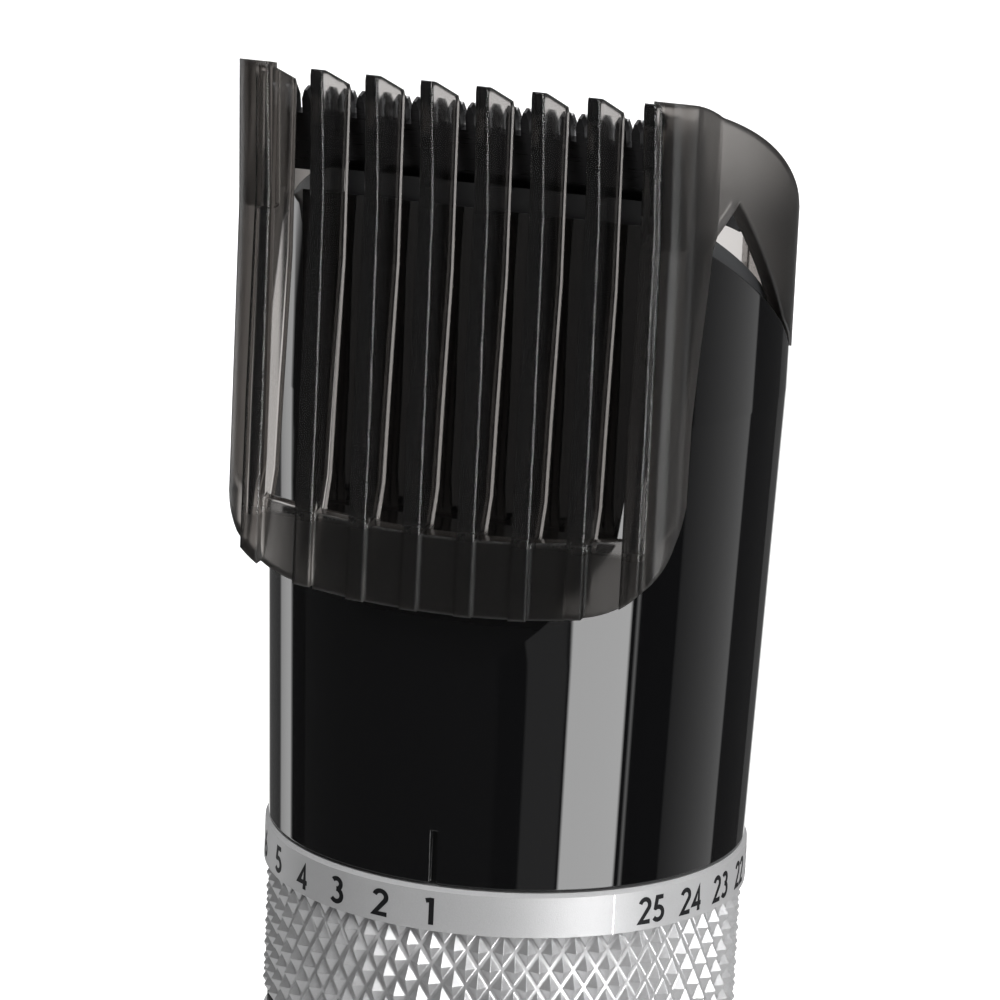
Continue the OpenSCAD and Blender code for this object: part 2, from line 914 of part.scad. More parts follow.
module head_frame() {
    band_out = shell_r - shell_t - gap;
    plug_r = neck_top_r - neck_wall - 0.15;
    color("#232527")
    translate([0, 0, zr])
        difference() {
            union() {
                // matte band and deck over the oblique rim
                intersection() {
                    translate([0, 0, 30])
                        cylinder(r = band_out, h = 60);
                    side_view()
                        difference() {
                            below_rim(rim_band);
                            below_rim(0);
                            translate([-60 - front_y + 0.4, -60])
                                square([60, 200]);
                        }
                }
                // plug inside the neck
                intersection() {
                    translate([0, 0, 30])
                        tube(plug_r, plug_r - 1.6, 60);
                    side_view()
                        difference() {
                            below_rim(0.5);
                            below_rim(-4);
                            translate([-60 - front_y + neck_wall + 0.15, -60])
                                square([60, 200]);
                        }
                }
            }
            // pocket for the blades and the drive
            translate([-blade_low - 0.5, -front_y + 1.4, 30])
                cube([2 * blade_low + 1, 9.6, 60]);
            translate([-8.2, -10, 30])
                cube([16.4, 15, 60]);
            // slot for the carriage
            translate([0, 0, 30])
                linear_extrude(height = 60)
                    intersection() {
                        difference() {
                            circle(r = bar_r + bar_t + 0.5);
                            circle(r = bar_r - 0.6);
                        }
                        rear_wedge(bar_half + 3);
                    }
            // screw holes
            for (s = [-1, 1])
                translate([s * lug_x, 2, 30]) {
                    cylinder(r = 1.1, h = 60);
                    translate([0, 0, rim_at(2) + rim_band - seat - 30])
                        cylinder(r = 2.1, h = 30);
                }
        }
}

module frame_screws() {
    color("#9a9da1")
    for (s = [-1, 1])
        translate([s * lug_x, 2, zr + rim_at(2) + rim_band - seat]) {
            translate([0, 0, -7.7])
                cylinder(r = 1.05, h = 8);
            cylinder(r = 1.9, h = 1.1);
        }
}

module drive_cover() {
    // hood over the eccentric, open at the front for the yoke's arm
    color("#1b1d1f")
    translate([0, 0, zr])
        difference() {
            side_view(16)
                difference() {
                    polygon([[-8.3, 46], [4.8, 46], [4.8, 62], [1, 65.4], [-8.3, 65.4]]);
                    below_rim(-1);
                }
            side_view(13.6)
                polygon([[-12, 40], [3.6, 40], [3.6, 61.4], [0.6, 64.2], [-12, 64.2]]);
        }
}

// Blade frame: z runs up the blade from its tips, y away from the comb.
module at_blade() {
    translate([0, -blade_y, zr + blade_z])
        rotate([blade_tilt, 0, 0])
            children();
}

// A row of teeth as a front view: [x, z], tips at z = 0.
module teeth_2d(half, pitch, width, length) {
    n = floor((half - width / 2) / pitch);
    for (i = [-n : n])
        polygon([
            [i * pitch - width / 2, -length - 0.5],
            [i * pitch + width / 2, -length - 0.5],
            [i * pitch + width / 2, -0.9],
            [i * pitch + width / 6, 0],
            [i * pitch - width / 6, 0],
            [i * pitch - width / 2, -0.9]
        ]);
}

module blade_screw_places() {
    for (s = [-1, 1])
        translate([s * 9.5, 0, -blade_drop + 2.6])
            children();
}

module fixed_blade() {
    color("#1a1b1c")
    at_blade()
        difference() {
            translate([0, fixed_t / 2, 0])
                front_view(fixed_t)
                    union() {
                        teeth_2d(blade_half, tooth_pitch, tooth_w, tooth_l);
                        translate([-blade_half, -wide_drop])
                            square([2 * blade_half, wide_drop - tooth_l]);
                        translate([-blade_low, -blade_drop])
                            square([2 * blade_low, blade_drop - tooth_l]);
                    }
            blade_screw_places()
                translate([0, -1, 0])
                    rotate([-90, 0, 0])
                        cylinder(r = 1.15, h = 5);
        }
}

module blade_screws() {
    color("#8f9296")
    at_blade()
        blade_screw_places()
            rotate([-90, 0, 0]) {
                translate([0, 0, -0.45])
                    cylinder(r = 2, h = 0.45);
                cylinder(r = 1.1, h = 3.4);
            }
}

module cutter_blade() {
    color("#77797c")
    at_blade()
        translate([0, fixed_t + 0.05 + cutter_t / 2, 0])
            front_view(cutter_t)
                union() {
                    translate([0, -0.5])
                        teeth_2d(blade_half - 2, tooth_pitch, tooth_w, tooth_l);
                    translate([-blade_half + 2.4, -8.6])
                        square([2 * blade_half - 4.8, 8.6 - tooth_l - 0.5]);
                }
}

module blade_holder() {
    color("#1e2022")
    difference() {
        at_blade()
            translate([-blade_low - 0.4, fixed_t, -blade_drop - 1.5])
                cube([2 * blade_low + 0.8, 3.2, 6.1]);
        at_blade()
            blade_screw_places()
                rotate([-90, 0, 0])
                    cylinder(r = 1.15, h = 8);
        // room for the yoke's arm
        at_blade()
            translate([-arm_half - cutter_stroke - 0.6, fixed_t + 1.6, -blade_drop - 4])
                cube([2 * arm_half + 2 * cutter_stroke + 1.2, 10, 12]);
    }
}

module cutter_yoke() {
    color("#e6e7e3")
    difference() {
        union() {
            at_blade()
                translate([-arm_half, fixed_t + 0.05 + cutter_t, -7.6])
                    cube([2 * arm_half, 2.2, 3.8]);
            // bridge, riser and arm to the eccentric's pin
            translate([-arm_half, -riser_y - 2.1, zr + blade_z - 6.9])
                cube([2 * arm_half, 4.3, 2.4]);
            translate([-arm_half, -riser_y, arm_z])
                cube([2 * arm_half, 2.2, zr + blade_z - 4.7 - arm_z]);
            translate([-arm_half, -riser_y, arm_z])
                cube([2 * arm_half, riser_y + arm_end, 3.2]);
        }
        // fork round the pin, open to the rear
        translate([-fork_half, -fork_half, zr + 50])
            cube([2 * fork_half, fork_half + arm_end + 1, 20]);
    }
}

// Two flat springs that hold the cutter against the fixed blade.
module tension_spring() {
    color("#c0c2c5")
    at_blade()
        for (s = [-1, 1])
            translate([s * 9.5 - 1.8, 0, 0])
                difference() {
                    union() {
                        translate([0, fixed_t + 3.2, -blade_drop + 1])
                            cube([3.6, 0.4, 9.4]);
                        translate([0, fixed_t + 0.1 + cutter_t, -blade_drop + 9])
                            cube([3.6, 3.6 - 0.1 - cutter_t, 1.4]);
                    }
                    translate([1.8, 0, -blade_drop + 2.6])
                        rotate([-90, 0, 0])
                            cylinder(r = 1.3, h = 8);
                }
}

// ---- length comb ----

// Rear shell and sides from above, moved inward by o: they meet the side walls at a crease.
module comb_rear(o) {
    intersection() {
        circle(r = shell_r - o);
        translate([-40, 0])
            square([80, 40]);
    }
    intersection() {
        translate([-flank_at, 0])
            circle(r = side_curve - o);
        translate([flank_at, 0])
            circle(r = side_curve - o);
        translate([-40, -flank_y - 0.6])
            square([80, flank_y + 0.6]);
    }
}

// Outline from above: side walls and rounded corners, with a front that is a little convex.
module comb_plan() {
    corner_y = -apron_y + 0.8 + plan_corner;
    comb_rear(0);
    translate([-side_x, corner_y])
        square([2 * side_x, -flank_y - corner_y]);
    intersection() {
        union() {
            for (s = [-1, 1])
                translate([s * (side_x - plan_corner), corner_y])
                    circle(r = plan_corner);
            translate([-side_x + plan_corner, -apron_y - 1])
                square([2 * (side_x - plan_corner), 8]);
        }
        translate([0, 160 - apron_y])
            circle(r = 160);
    }
}

module comb_hollow() {
    flat = side_x - shell_t;
    back = -apron_y + apron_t;
    comb_rear(shell_t);
    polygon([
        [-flat, 0.4 - flank_y],
        [-flat, back + 1.7],
        [-flat + 1.7, back],
        [flat - 1.7, back],
        [flat, back + 1.7],
        [flat, 0.4 - flank_y]
    ]);
}

// Lower edge of the front in the front view: a shallow arc that runs into rounded ends.
module comb_front(low) {
    intersection() {
        translate([0, low + 103])
            circle(r = 103);
        union() {
            translate([-30, low + foot_corner + foot_rise])
                square([60, 90]);
            translate([foot_corner - side_x, low - 1])
                square([2 * (side_x - foot_corner), 90]);
            for (s = [-1, 1])
                translate([s * (side_x - foot_corner), low + foot_corner + foot_rise])
                    circle(r = foot_corner);
        }
    }
}

// Top edge of the comb, in the side view.
module comb_top() {
    intersection() {
        translate([crown_y, crown_z])
            circle(r = crown_r);
        translate([-30, 0])
            square([80, 120]);
    }
    translate([crown_turn, 20])
        square([30, comb_back - 20]);
}

module comb_side() {
    intersection() {
        comb_top();
        difference() {
            polygon([
                [-40, 10],
                [-front_y - 5, 10],
                [-front_y - 5, 35],
                [-front_y - 2.7, 38.1],
                [-front_y - 2.4, 45.7],
                [-front_y - 0.8, 52.1],
                [-front_y + 0.7, 57],
                [-front_y + 1.6, 60.7],
                [-front_y + 5.9, 64.6],
                [-0.2, 51.7],
                [rim_turn, rim_rear + 0.5],
                [40, rim_rear + 0.5],
                [40, 90],
                [-40, 90]
            ]);
        }
    }
}

module tine_side() {
    polygon([
        [-apron_y - 0.3, apron_z - 4],
        [-apron_y - 0.15, 45],
        [-apron_y + 0.1, 64],
        [-apron_y - 0.5, 69.8],
        [-tip_y, tip_z],
        [-tip_y + 1, tip_z - 0.2],
        [-front_y - 1.6, tip_z - 2.6],
        [-front_y - 1.2, tip_z - 3.2],
        [-front_y - 1.1, 57],
        [-front_y - 2.4, 44.7],
        [-front_y - 2.9, 37],
        [-front_y - 4.2, 33.6],
        [-apron_y + apron_t, apron_z + 2],
        [-apron_y + apron_t, apron_z - 4]
    ]);
}

// One tooth in the front view, narrower towards its tip.
module tine_front() {
    polygon([
        [-tine_root_w / 2, 15],
        [tine_root_w / 2, 15],
        [tine_root_w / 2, 45],
        [tine_tip_w / 2, tip_z - 0.6],
        [tine_tip_w / 2 - 0.2, tip_z + 1],
        [-tine_tip_w / 2 + 0.2, tip_z + 1],
        [-tine_tip_w / 2, tip_z - 0.6],
        [-tine_root_w / 2, 45]
    ]);
}

module comb_teeth() {
    span = (tines - 1) * tine_pitch / 2;
    intersection() {
        side_view()
            tine_side();
        front_view()
            for (i = [0 : tines - 1])
                translate([i * tine_pitch - span, 0])
                    tine_front();
        front_view()
            comb_front(apron_z);
    }
}

module comb_shell() {
    inner = (tines - 1) * tine_pitch / 2;
    intersection() {
        difference() {
            linear_extrude(height = 90)
                comb_plan();
            translate([0, 0, -1])
                linear_extrude(height = 92)
                    comb_hollow();
            // open front above the panel, where the teeth stand
            intersection() {
                front_view()
                    translate([0, apron_z + apron_h + 103])
                        circle(r = 103);
                translate([-inner, -40, 0])
                    cube([2 * inner, 30, 100]);
            }
        }
        side_view()
            comb_side();
        front_view()
            comb_front(apron_z);
    }
}

// Front corners of the side walls, which lean forward with the teeth at their tips.
module comb_corners() {
    module slice(y, z) {
        translate([0, y, z])
            linear_extrude(height = 0.1)
                intersection() {
                    comb_plan();
                    translate([(tines - 1) * tine_pitch / 2, -apron_y - 1])
                        square([8, 5]);
                }
    }
    intersection() {
        for (s = [0, 1])
            mirror([s, 0, 0])
                hull() {
                    slice(0, 62);
                    slice(-tip_out, tip_z + 1);
                }
        side_view()
            comb_top();
    }
}

// Socket on the rear shell: a lid over the carriage's claw, and a rib at each end of its shoe.
module comb_socket() {
    foot = rim_rear + 3;
    intersection() {
        translate([-claw_half - 1.6, bar_r - 0.6, claw_z + claw_h + 0.05])
            cube([2 * claw_half + 3.2, 10, lid_t]);
        cylinder(r = shell_r - shell_t / 2, h = 90);
    }
    for (s = [-1, 1])
        rotate(s * (shoe_half + 3))
            translate([-0.9, shell_r - shell_t - shoe_t, foot])
                cube([1.8, shoe_t + shell_t / 2, comb_back - 0.2 - foot]);
}

module guide_comb() {
    color([0.25, 0.25, 0.26, 0.6])
    translate([0, 0, zr])
        union() {
            comb_shell();
            comb_teeth();
            comb_corners();
            comb_socket();
        }
}

base_cap();
charging_jack();
base_screws();
handle_sleeve();
chassis();
seal_ring();
detent_spring();
battery();
battery_tray();
contact_minus();
contact_plus();
circuit_board();
board_switch();
switch_bezel();
power_switch();
charge_light();
number_ring();
knurl_grip();
cam_drum();
drum_key();
carriage();
neck_shell();
neck_nut();
motor_can();
motor_cap();
motor_plate();
plate_screws();
motor_shaft();
eccentric();
head_frame();
frame_screws();
drive_cover();
blade_holder();
fixed_blade();
blade_screws();
cutter_blade();
cutter_yoke();
tension_spring();
guide_comb();
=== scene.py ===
"""Finishes a cordless hair clipper: metal handle, numbered zoom ring, gloss neck, smoke comb.

Run as a script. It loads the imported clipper, gives every piece its finish, adds the zoom
ring's knurl, printed numbers and foil seam, and sets up a white studio with a camera.
"""
import json
import math

import bmesh
import bpy
from bpy.props import FloatProperty, FloatVectorProperty, IntProperty, PointerProperty
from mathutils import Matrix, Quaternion, Vector


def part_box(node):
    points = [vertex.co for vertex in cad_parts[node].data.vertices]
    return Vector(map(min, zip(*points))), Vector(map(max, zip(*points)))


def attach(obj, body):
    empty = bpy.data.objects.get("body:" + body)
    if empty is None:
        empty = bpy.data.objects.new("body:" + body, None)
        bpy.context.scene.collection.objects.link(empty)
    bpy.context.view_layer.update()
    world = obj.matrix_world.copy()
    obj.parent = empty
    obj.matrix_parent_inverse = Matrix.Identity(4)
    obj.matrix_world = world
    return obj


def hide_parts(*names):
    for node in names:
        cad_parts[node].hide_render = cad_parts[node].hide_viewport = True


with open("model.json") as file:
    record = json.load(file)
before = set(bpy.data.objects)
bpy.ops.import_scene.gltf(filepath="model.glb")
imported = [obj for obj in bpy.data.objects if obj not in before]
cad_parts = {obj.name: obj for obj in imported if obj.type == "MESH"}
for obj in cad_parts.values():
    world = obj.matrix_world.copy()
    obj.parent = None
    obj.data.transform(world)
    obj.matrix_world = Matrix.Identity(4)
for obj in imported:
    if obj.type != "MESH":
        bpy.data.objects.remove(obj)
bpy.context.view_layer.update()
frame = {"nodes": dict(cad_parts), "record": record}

bl_info = {
    "name": "Hair Clipper",
    "version": (1, 0, 0),
    "blender": (4, 5, 0),
    "location": "View3D > Sidebar > Clipper",
    "description": "Finishes, knurl, dial numbers and studio for a zoom-ring hair clipper",
    "category": "Object",
}

MM = 0.001
NODES = frame["nodes"]
SLOT_OF = {part["node"]: part["material_slot"] for part in frame["record"]["subparts"]}
RING_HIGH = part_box("number_ring")[1]     # the band's radius and its top
GRIP_LOW, GRIP_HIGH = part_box("knurl_grip")
GRIP_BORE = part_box("cam_drum")[1].x      # the knurl's tube fits round the drum
COMB_LOW, COMB_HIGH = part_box("guide_comb")


# ---- sizes and colours that a user would change ----


class ClipperDial(bpy.types.PropertyGroup):
    """The numbers printed round the zoom ring."""
    settings: IntProperty(
        name="Settings", description="How many numbers the ring carries", default=25, min=2)
    arc: FloatProperty(
        name="Arc", description="Angle from the first number to the last",
        default=math.radians(306.3), subtype="ANGLE", unit="ROTATION")
    height: FloatProperty(
        name="Number height", description="Height of a digit",
        default=2.6 * MM, subtype="DISTANCE", unit="LENGTH")
    stroke: FloatProperty(
        name="Stroke", description="Width of a printed stroke",
        default=0.45 * MM, subtype="DISTANCE", unit="LENGTH")
    base_line: FloatProperty(
        name="Base line", description="Height of the digits' feet above the knurl",
        default=0.62 * MM, subtype="DISTANCE", unit="LENGTH")
    ink: FloatProperty(
        name="Ink", description="How far the print stands proud of the band",
        default=0.015 * MM, subtype="DISTANCE", unit="LENGTH")
    seam_at: FloatProperty(
        name="Seam", description="Angle from the front to the seam of the band's foil",
        default=math.radians(43.3), subtype="ANGLE", unit="ROTATION")


class ClipperKnurl(bpy.types.PropertyGroup):
    """The diamond knurl of the zoom ring's grip."""
    columns: IntProperty(
        name="Columns", description="Diamonds in one row round the grip", default=62, min=8)
    rows: IntProperty(
        name="Rows", description="Rows of diamonds, with a cut row at each end", default=8, min=2)
    row_height: FloatProperty(
        name="Row height", description="Height from one row's middle to the next",
        default=1.75 * MM, subtype="DISTANCE", unit="LENGTH")
    relief: FloatProperty(
        name="Relief", description="Height of a diamond's point above the grooves",
        default=0.72 * MM, subtype="DISTANCE", unit="LENGTH")
    cover: FloatProperty(
        name="Cover", description="Share of its cell that a diamond fills; the rest is groove",
        default=0.86, min=0.3, max=1.0, subtype="FACTOR")
    phase: FloatProperty(
        name="Phase", description="Turn of the pattern against the numbers",
        default=0.0, subtype="ANGLE", unit="ROTATION")


class ClipperFinish(bpy.types.PropertyGroup):
    """Colours and surfaces of the main materials."""
    metal: FloatVectorProperty(
        name="Metal", description="Satin coat of the ring and the handle", subtype="COLOR",
        default=(0.44, 0.44, 0.445))
    sheen: FloatProperty(
        name="Metal sheen", description="How metallic the satin coat is",
        default=0.4, min=0.0, max=1.0, subtype="FACTOR")
    black: FloatVectorProperty(
        name="Gloss black", description="Polished neck", subtype="COLOR",
        default=(0.003, 0.003, 0.0033))
    smoke: FloatVectorProperty(
        name="Smoke", description="Tint that the comb's plastic lets through", subtype="COLOR",
        default=(0.30, 0.265, 0.24))
    smoke_density: FloatProperty(
        name="Smoke density", description="Absorption of the comb's plastic per metre",
        default=560.0, min=0.0)
    frost: FloatProperty(
        name="Frost", description="Roughness of the comb's grained panels",
        default=0.36, min=0.0, max=1.0, subtype="FACTOR")
    # Painted shade: a darker tint for the comb's grained side walls and apron
    frost_tint: FloatVectorProperty(
        name="Grain panel shade", description="Tint of the comb's grained panels", subtype="COLOR",
        default=(0.5, 0.49, 0.48))


class ClipperStudio(bpy.types.PropertyGroup):
    """Camera and light."""
    azimuth: FloatProperty(
        name="Azimuth", description="Direction of the camera from the front, to the right",
        default=math.radians(16.9), subtype="ANGLE", unit="ROTATION")
    elevation: FloatProperty(
        name="Elevation", description="Height of the camera above the horizon",
        default=math.radians(14.575), subtype="ANGLE", unit="ROTATION")
    roll: FloatProperty(
        name="Roll", description="Turn of the camera about its view",
        default=math.radians(2.669), subtype="ANGLE", unit="ROTATION")
    distance: FloatProperty(
        name="Distance", description="From the camera to the point it looks at",
        default=579.0 * MM, subtype="DISTANCE", unit="LENGTH")
    aim: FloatVectorProperty(
        name="Aim", description="Point that the camera looks at", subtype="TRANSLATION",
        unit="LENGTH", default=(-1.96 * MM, -0.56 * MM, 140.34 * MM))
    lens: FloatProperty(
        name="Lens", description="Focal length in millimetres on a 36 mm sensor",
        default=221.3, min=20.0)
    light: FloatProperty(
        name="Light", description="Strength of the studio's softboxes", default=1.0, min=0.0)


# ---- node trees ----


def add(tree, kind, inputs=None, **settings):
    """A node in the tree; inputs are values or sockets, settings are its own properties.

    kind is a shader node's short name or any node's full type name.
    """
    made = tree.nodes.new(kind if "Node" in kind else "ShaderNode" + kind)
    for name, value in settings.items():
        setattr(made, name, value)
    for name, value in (inputs or {}).items():
        if isinstance(value, bpy.types.NodeSocket):
            tree.links.new(value, made.inputs[name])
        else:
            made.inputs[name].default_value = value
    return made


def own_place(tree):
    """The piece's own coordinates, which turn and slide with it."""
    return add(tree, "TexCoord").outputs["Object"]


def maths(tree, operation, *values):
    """The result of a Math node."""
    return add(tree, "Math", dict(enumerate(values)), operation=operation).outputs["Value"]


def fit(tree, value, low, high, to_low, to_high, smooth=False):
    """value mapped from one range to another and held inside it."""
    return add(tree, "MapRange", {
        "Value": value, "From Min": low, "From Max": high, "To Min": to_low, "To Max": to_high,
    }, interpolation_type="SMOOTHSTEP" if smooth else "LINEAR").outputs["Result"]


def shader_group(name, inputs, outputs):
    """An empty node group with float sockets, and its two end nodes."""
    tree = bpy.data.node_groups.new(name, "ShaderNodeTree")
    for label, value in inputs.items():
        socket = tree.interface.new_socket(
            name=label, in_out="INPUT", socket_type="NodeSocketFloat")
        socket.default_value = value
    for label in outputs:
        tree.interface.new_socket(name=label, in_out="OUTPUT", socket_type="NodeSocketFloat")
    return tree, tree.nodes.new("NodeGroupInput"), tree.nodes.new("NodeGroupOutput")


def grain_group():
    """Fine moulded or blasted grain: a height and a roughness."""
    tree, given, result = shader_group(
        "Fine Grain", {"Scale": 9000.0, "Smooth": 0.3, "Rough": 0.4}, ("Height", "Roughness"))
    noise = add(tree, "TexNoise", {
        "Vector": own_place(tree), "Scale": given.outputs["Scale"], "Detail": 2.0}).outputs["Fac"]
    tree.links.new(noise, result.inputs["Height"])
    rough = add(tree, "MapRange", {
        "Value": noise, "From Min": 0.35, "From Max": 0.65,
        "To Min": given.outputs["Smooth"], "To Max": given.outputs["Rough"]}).outputs["Result"]
    tree.links.new(rough, result.inputs["Roughness"])
    return tree


def turned_group():
    """Lathe lines round the handle's axis, as a height."""
    tree, given, result = shader_group(
        "Turned Lines", {"Lines per Metre": 6000.0, "Along": 60.0}, ("Height",))
    place = add(tree, "SeparateXYZ", {"Vector": own_place(tree)})
    x, y, z = (place.outputs[axis] for axis in "XYZ")
    angle = maths(tree, "ARCTAN2", y, x)
    reach = maths(tree, "SQRT", maths(tree, "ADD", maths(tree, "MULTIPLY", x, x),
                                      maths(tree, "MULTIPLY", y, y)))
    across = maths(tree, "MULTIPLY", maths(tree, "ADD", z, reach),
                   given.outputs["Lines per Metre"])
    along = maths(tree, "MULTIPLY", maths(tree, "SINE", angle), given.outputs["Along"])
    vector = add(tree, "CombineXYZ", {"X": across, "Y": along, "Z": 0.0}).outputs["Vector"]
    noise = add(tree, "TexNoise", {"Vector": vector, "Scale": 1.0, "Detail": 3.0}).outputs["Fac"]
    tree.links.new(noise, result.inputs["Height"])
    return tree


SPECK_SIZE = 0.035         # radius of a speck, as a share of its cell
CLEAN_CELLS = 0.82         # share of the cells that hold no speck


def handling_group():
    """Marks of use: soft smudges from fingers and a few specks of dust."""
    tree, given, result = shader_group(
        "Handling", {"Smudge Scale": 70.0, "Speck Scale": 420.0}, ("Smudge", "Speck"))
    place = own_place(tree)
    cloud = add(tree, "TexNoise", {
        "Vector": place, "Scale": given.outputs["Smudge Scale"], "Detail": 4.0,
        "Roughness": 0.6}).outputs["Fac"]
    tree.links.new(fit(tree, cloud, 0.45, 0.75, 0.0, 1.0, smooth=True), result.inputs["Smudge"])
    dots = add(tree, "TexVoronoi", {
        "Vector": place, "Scale": given.outputs["Speck Scale"]}, feature="F1")
    small = maths(tree, "LESS_THAN", dots.outputs["Distance"], SPECK_SIZE)
    lot = add(tree, "SeparateColor", {"Color": dots.outputs["Color"]}).outputs["Red"]
    few = maths(tree, "GREATER_THAN", lot, CLEAN_CELLS)
    tree.links.new(maths(tree, "MULTIPLY", small, few), result.inputs["Speck"])
    return tree


GROUP_MAKERS = {
    "Fine Grain": grain_group, "Turned Lines": turned_group, "Handling": handling_group}
GROUPS = {}


def use_group(tree, name, **values):
    """One of the shared groups placed in a material's tree, made on its first use."""
    if name not in GROUPS:
        GROUPS[name] = GROUP_MAKERS[name]()
    made = add(tree, "Group", node_tree=GROUPS[name])
    for label, value in values.items():
        made.inputs[label.replace("_", " ")].default_value = value
    return made


# ---- materials ----


ACRYLIC_IOR = 1.49
EDGE_SAMPLES = 8           # rays that smooth a rounded edge
WALL_GRAIN_AND_SHADE, WALL_FADE = 5.6 * MM, 0.2 * MM      # grained sides of the comb, also tinted darker as painted shade, and their border
APRON_GRAIN_AND_SHADE, APRON_FADE = 7.0 * MM, 0.4 * MM    # grained foot of the comb, also tinted darker as painted shade, and its border
CLEAR_SHARE = 0.05         # how much of the grain the comb's polished parts show


def surface(name, color, roughness, metallic=0.0, ior=1.5):
    """A material with a plain Principled BSDF, and its tree and shader."""
    material = bpy.data.materials.new(name)
    material.use_nodes = True
    tree = material.node_tree
    shader = tree.nodes["Principled BSDF"]
    shader.inputs["Base Color"].default_value = (*color[:3], 1.0)
    shader.inputs["Roughness"].default_value = roughness
    shader.inputs["Metallic"].default_value = metallic
    shader.inputs["IOR"].default_value = ior
    material.diffuse_color = (*color[:3], 1.0)
    return material, tree, shader


def bump(tree, shader, height, strength, depth):
    """Feeds a height from 0 to 1, which stands for this depth, to the shader's normal."""
    made = add(tree, "Bump", {"Height": height, "Strength": strength, "Distance": depth})
    tree.links.new(made.outputs["Normal"], shader.inputs["Normal"])


def rounded(tree, shader, radius):
    """Rounds the look of sharp edges, in front of any bump that the shader already has."""
    edge = add(tree, "Bevel", {"Radius": radius}, samples=EDGE_SAMPLES)
    for link in shader.inputs["Normal"].links:
        tree.links.new(edge.outputs["Normal"], link.from_node.inputs["Normal"])
        return
    tree.links.new(edge.outputs["Normal"], shader.inputs["Normal"])


def tint(tree, shader, mask, color, other):
    """Base colour that runs from one colour to another by a mask."""
    mixed = add(tree, "Mix", {"Factor": mask}, data_type="RGBA")
    ends = {"A": color, "B": other}
    for socket in mixed.inputs:
        if socket.type == "RGBA":
            socket.default_value = (*ends[socket.name][:3], 1.0)
    out = next(s for s in mixed.outputs if s.type == "RGBA")
    tree.links.new(out, shader.inputs["Base Color"])


def mottled(tree, shader, mask, color, dark, light):
    """Base colour that a mask varies between a darker and a lighter share of one colour."""
    tint(tree, shader, mask, [c * dark for c in color], [min(1.0, c * light) for c in color])


def grained(tree, shader, scale, smooth, rough):
    """Fine grain that sets the shader's roughness; gives back the grain's height."""
    grain = use_group(tree, "Fine Grain", Scale=scale, Smooth=smooth, Rough=rough)
    tree.links.new(grain.outputs["Roughness"], shader.inputs["Roughness"])
    return grain.outputs["Height"]


def satin_metal(finish):
    """Blasted and anodised aluminium with faint lathe lines under it."""
    material, tree, shader = surface("satin_metal", finish.metal, 0.5, metallic=finish.sheen)
    grain = grained(tree, shader, 8000.0, 0.42, 0.6)
    lines = use_group(tree, "Turned Lines", Lines_per_Metre=5000.0, Along=25.0)
    height = maths(tree, "ADD", maths(tree, "MULTIPLY", lines.outputs["Height"], 0.25), grain)
    bump(tree, shader, height, 0.7, 0.02 * MM)
    mottled(tree, shader, grain, finish.metal, 0.86, 1.14)
    return material


def knurled_metal(finish):
    """The same satin coat on the rolled knurl: smoother, and brighter on its edges."""
    material, tree, shader = surface("knurled_metal", finish.metal, 0.36,
                                     metallic=min(1.0, finish.sheen * 1.6))
    grain = grained(tree, shader, 5000.0, 0.3, 0.44)
    rounded(tree, shader, 0.12 * MM)
    mottled(tree, shader, grain, finish.metal, 0.98, 1.2)
    return material


def gloss_black(finish):
    """Piano black plastic, with the slight waves of a moulding and faint handling marks."""
    material, tree, shader = surface("gloss_black", finish.black, 0.03)
    marks = use_group(tree, "Handling", Smudge_Scale=55.0, Speck_Scale=300.0)
    rough = maths(tree, "ADD", maths(tree, "MULTIPLY", marks.outputs["Smudge"], 0.02), 0.02)
    rough = maths(tree, "ADD", rough, maths(tree, "MULTIPLY", marks.outputs["Speck"], 0.5))
    tree.links.new(rough, shader.inputs["Roughness"])
    tint(tree, shader, marks.outputs["Speck"], finish.black, (0.12, 0.115, 0.11))
    waves = add(tree, "TexNoise", {"Vector": own_place(tree), "Scale": 45.0, "Detail": 1.0})
    bump(tree, shader, waves.outputs["Fac"], 0.25, 0.03 * MM)
    rounded(tree, shader, 0.15 * MM)
    return material


def moulded(name, color, smooth, rough, scale=7000.0, depth=0.03):
    """Plastic or rubber with a fine moulded grain."""
    material, tree, shader = surface(name, color, rough)
    grain = grained(tree, shader, scale, smooth, rough)
    bump(tree, shader, grain, 0.5, depth * MM)
    mottled(tree, shader, grain, color, 0.85, 1.2)
    return material


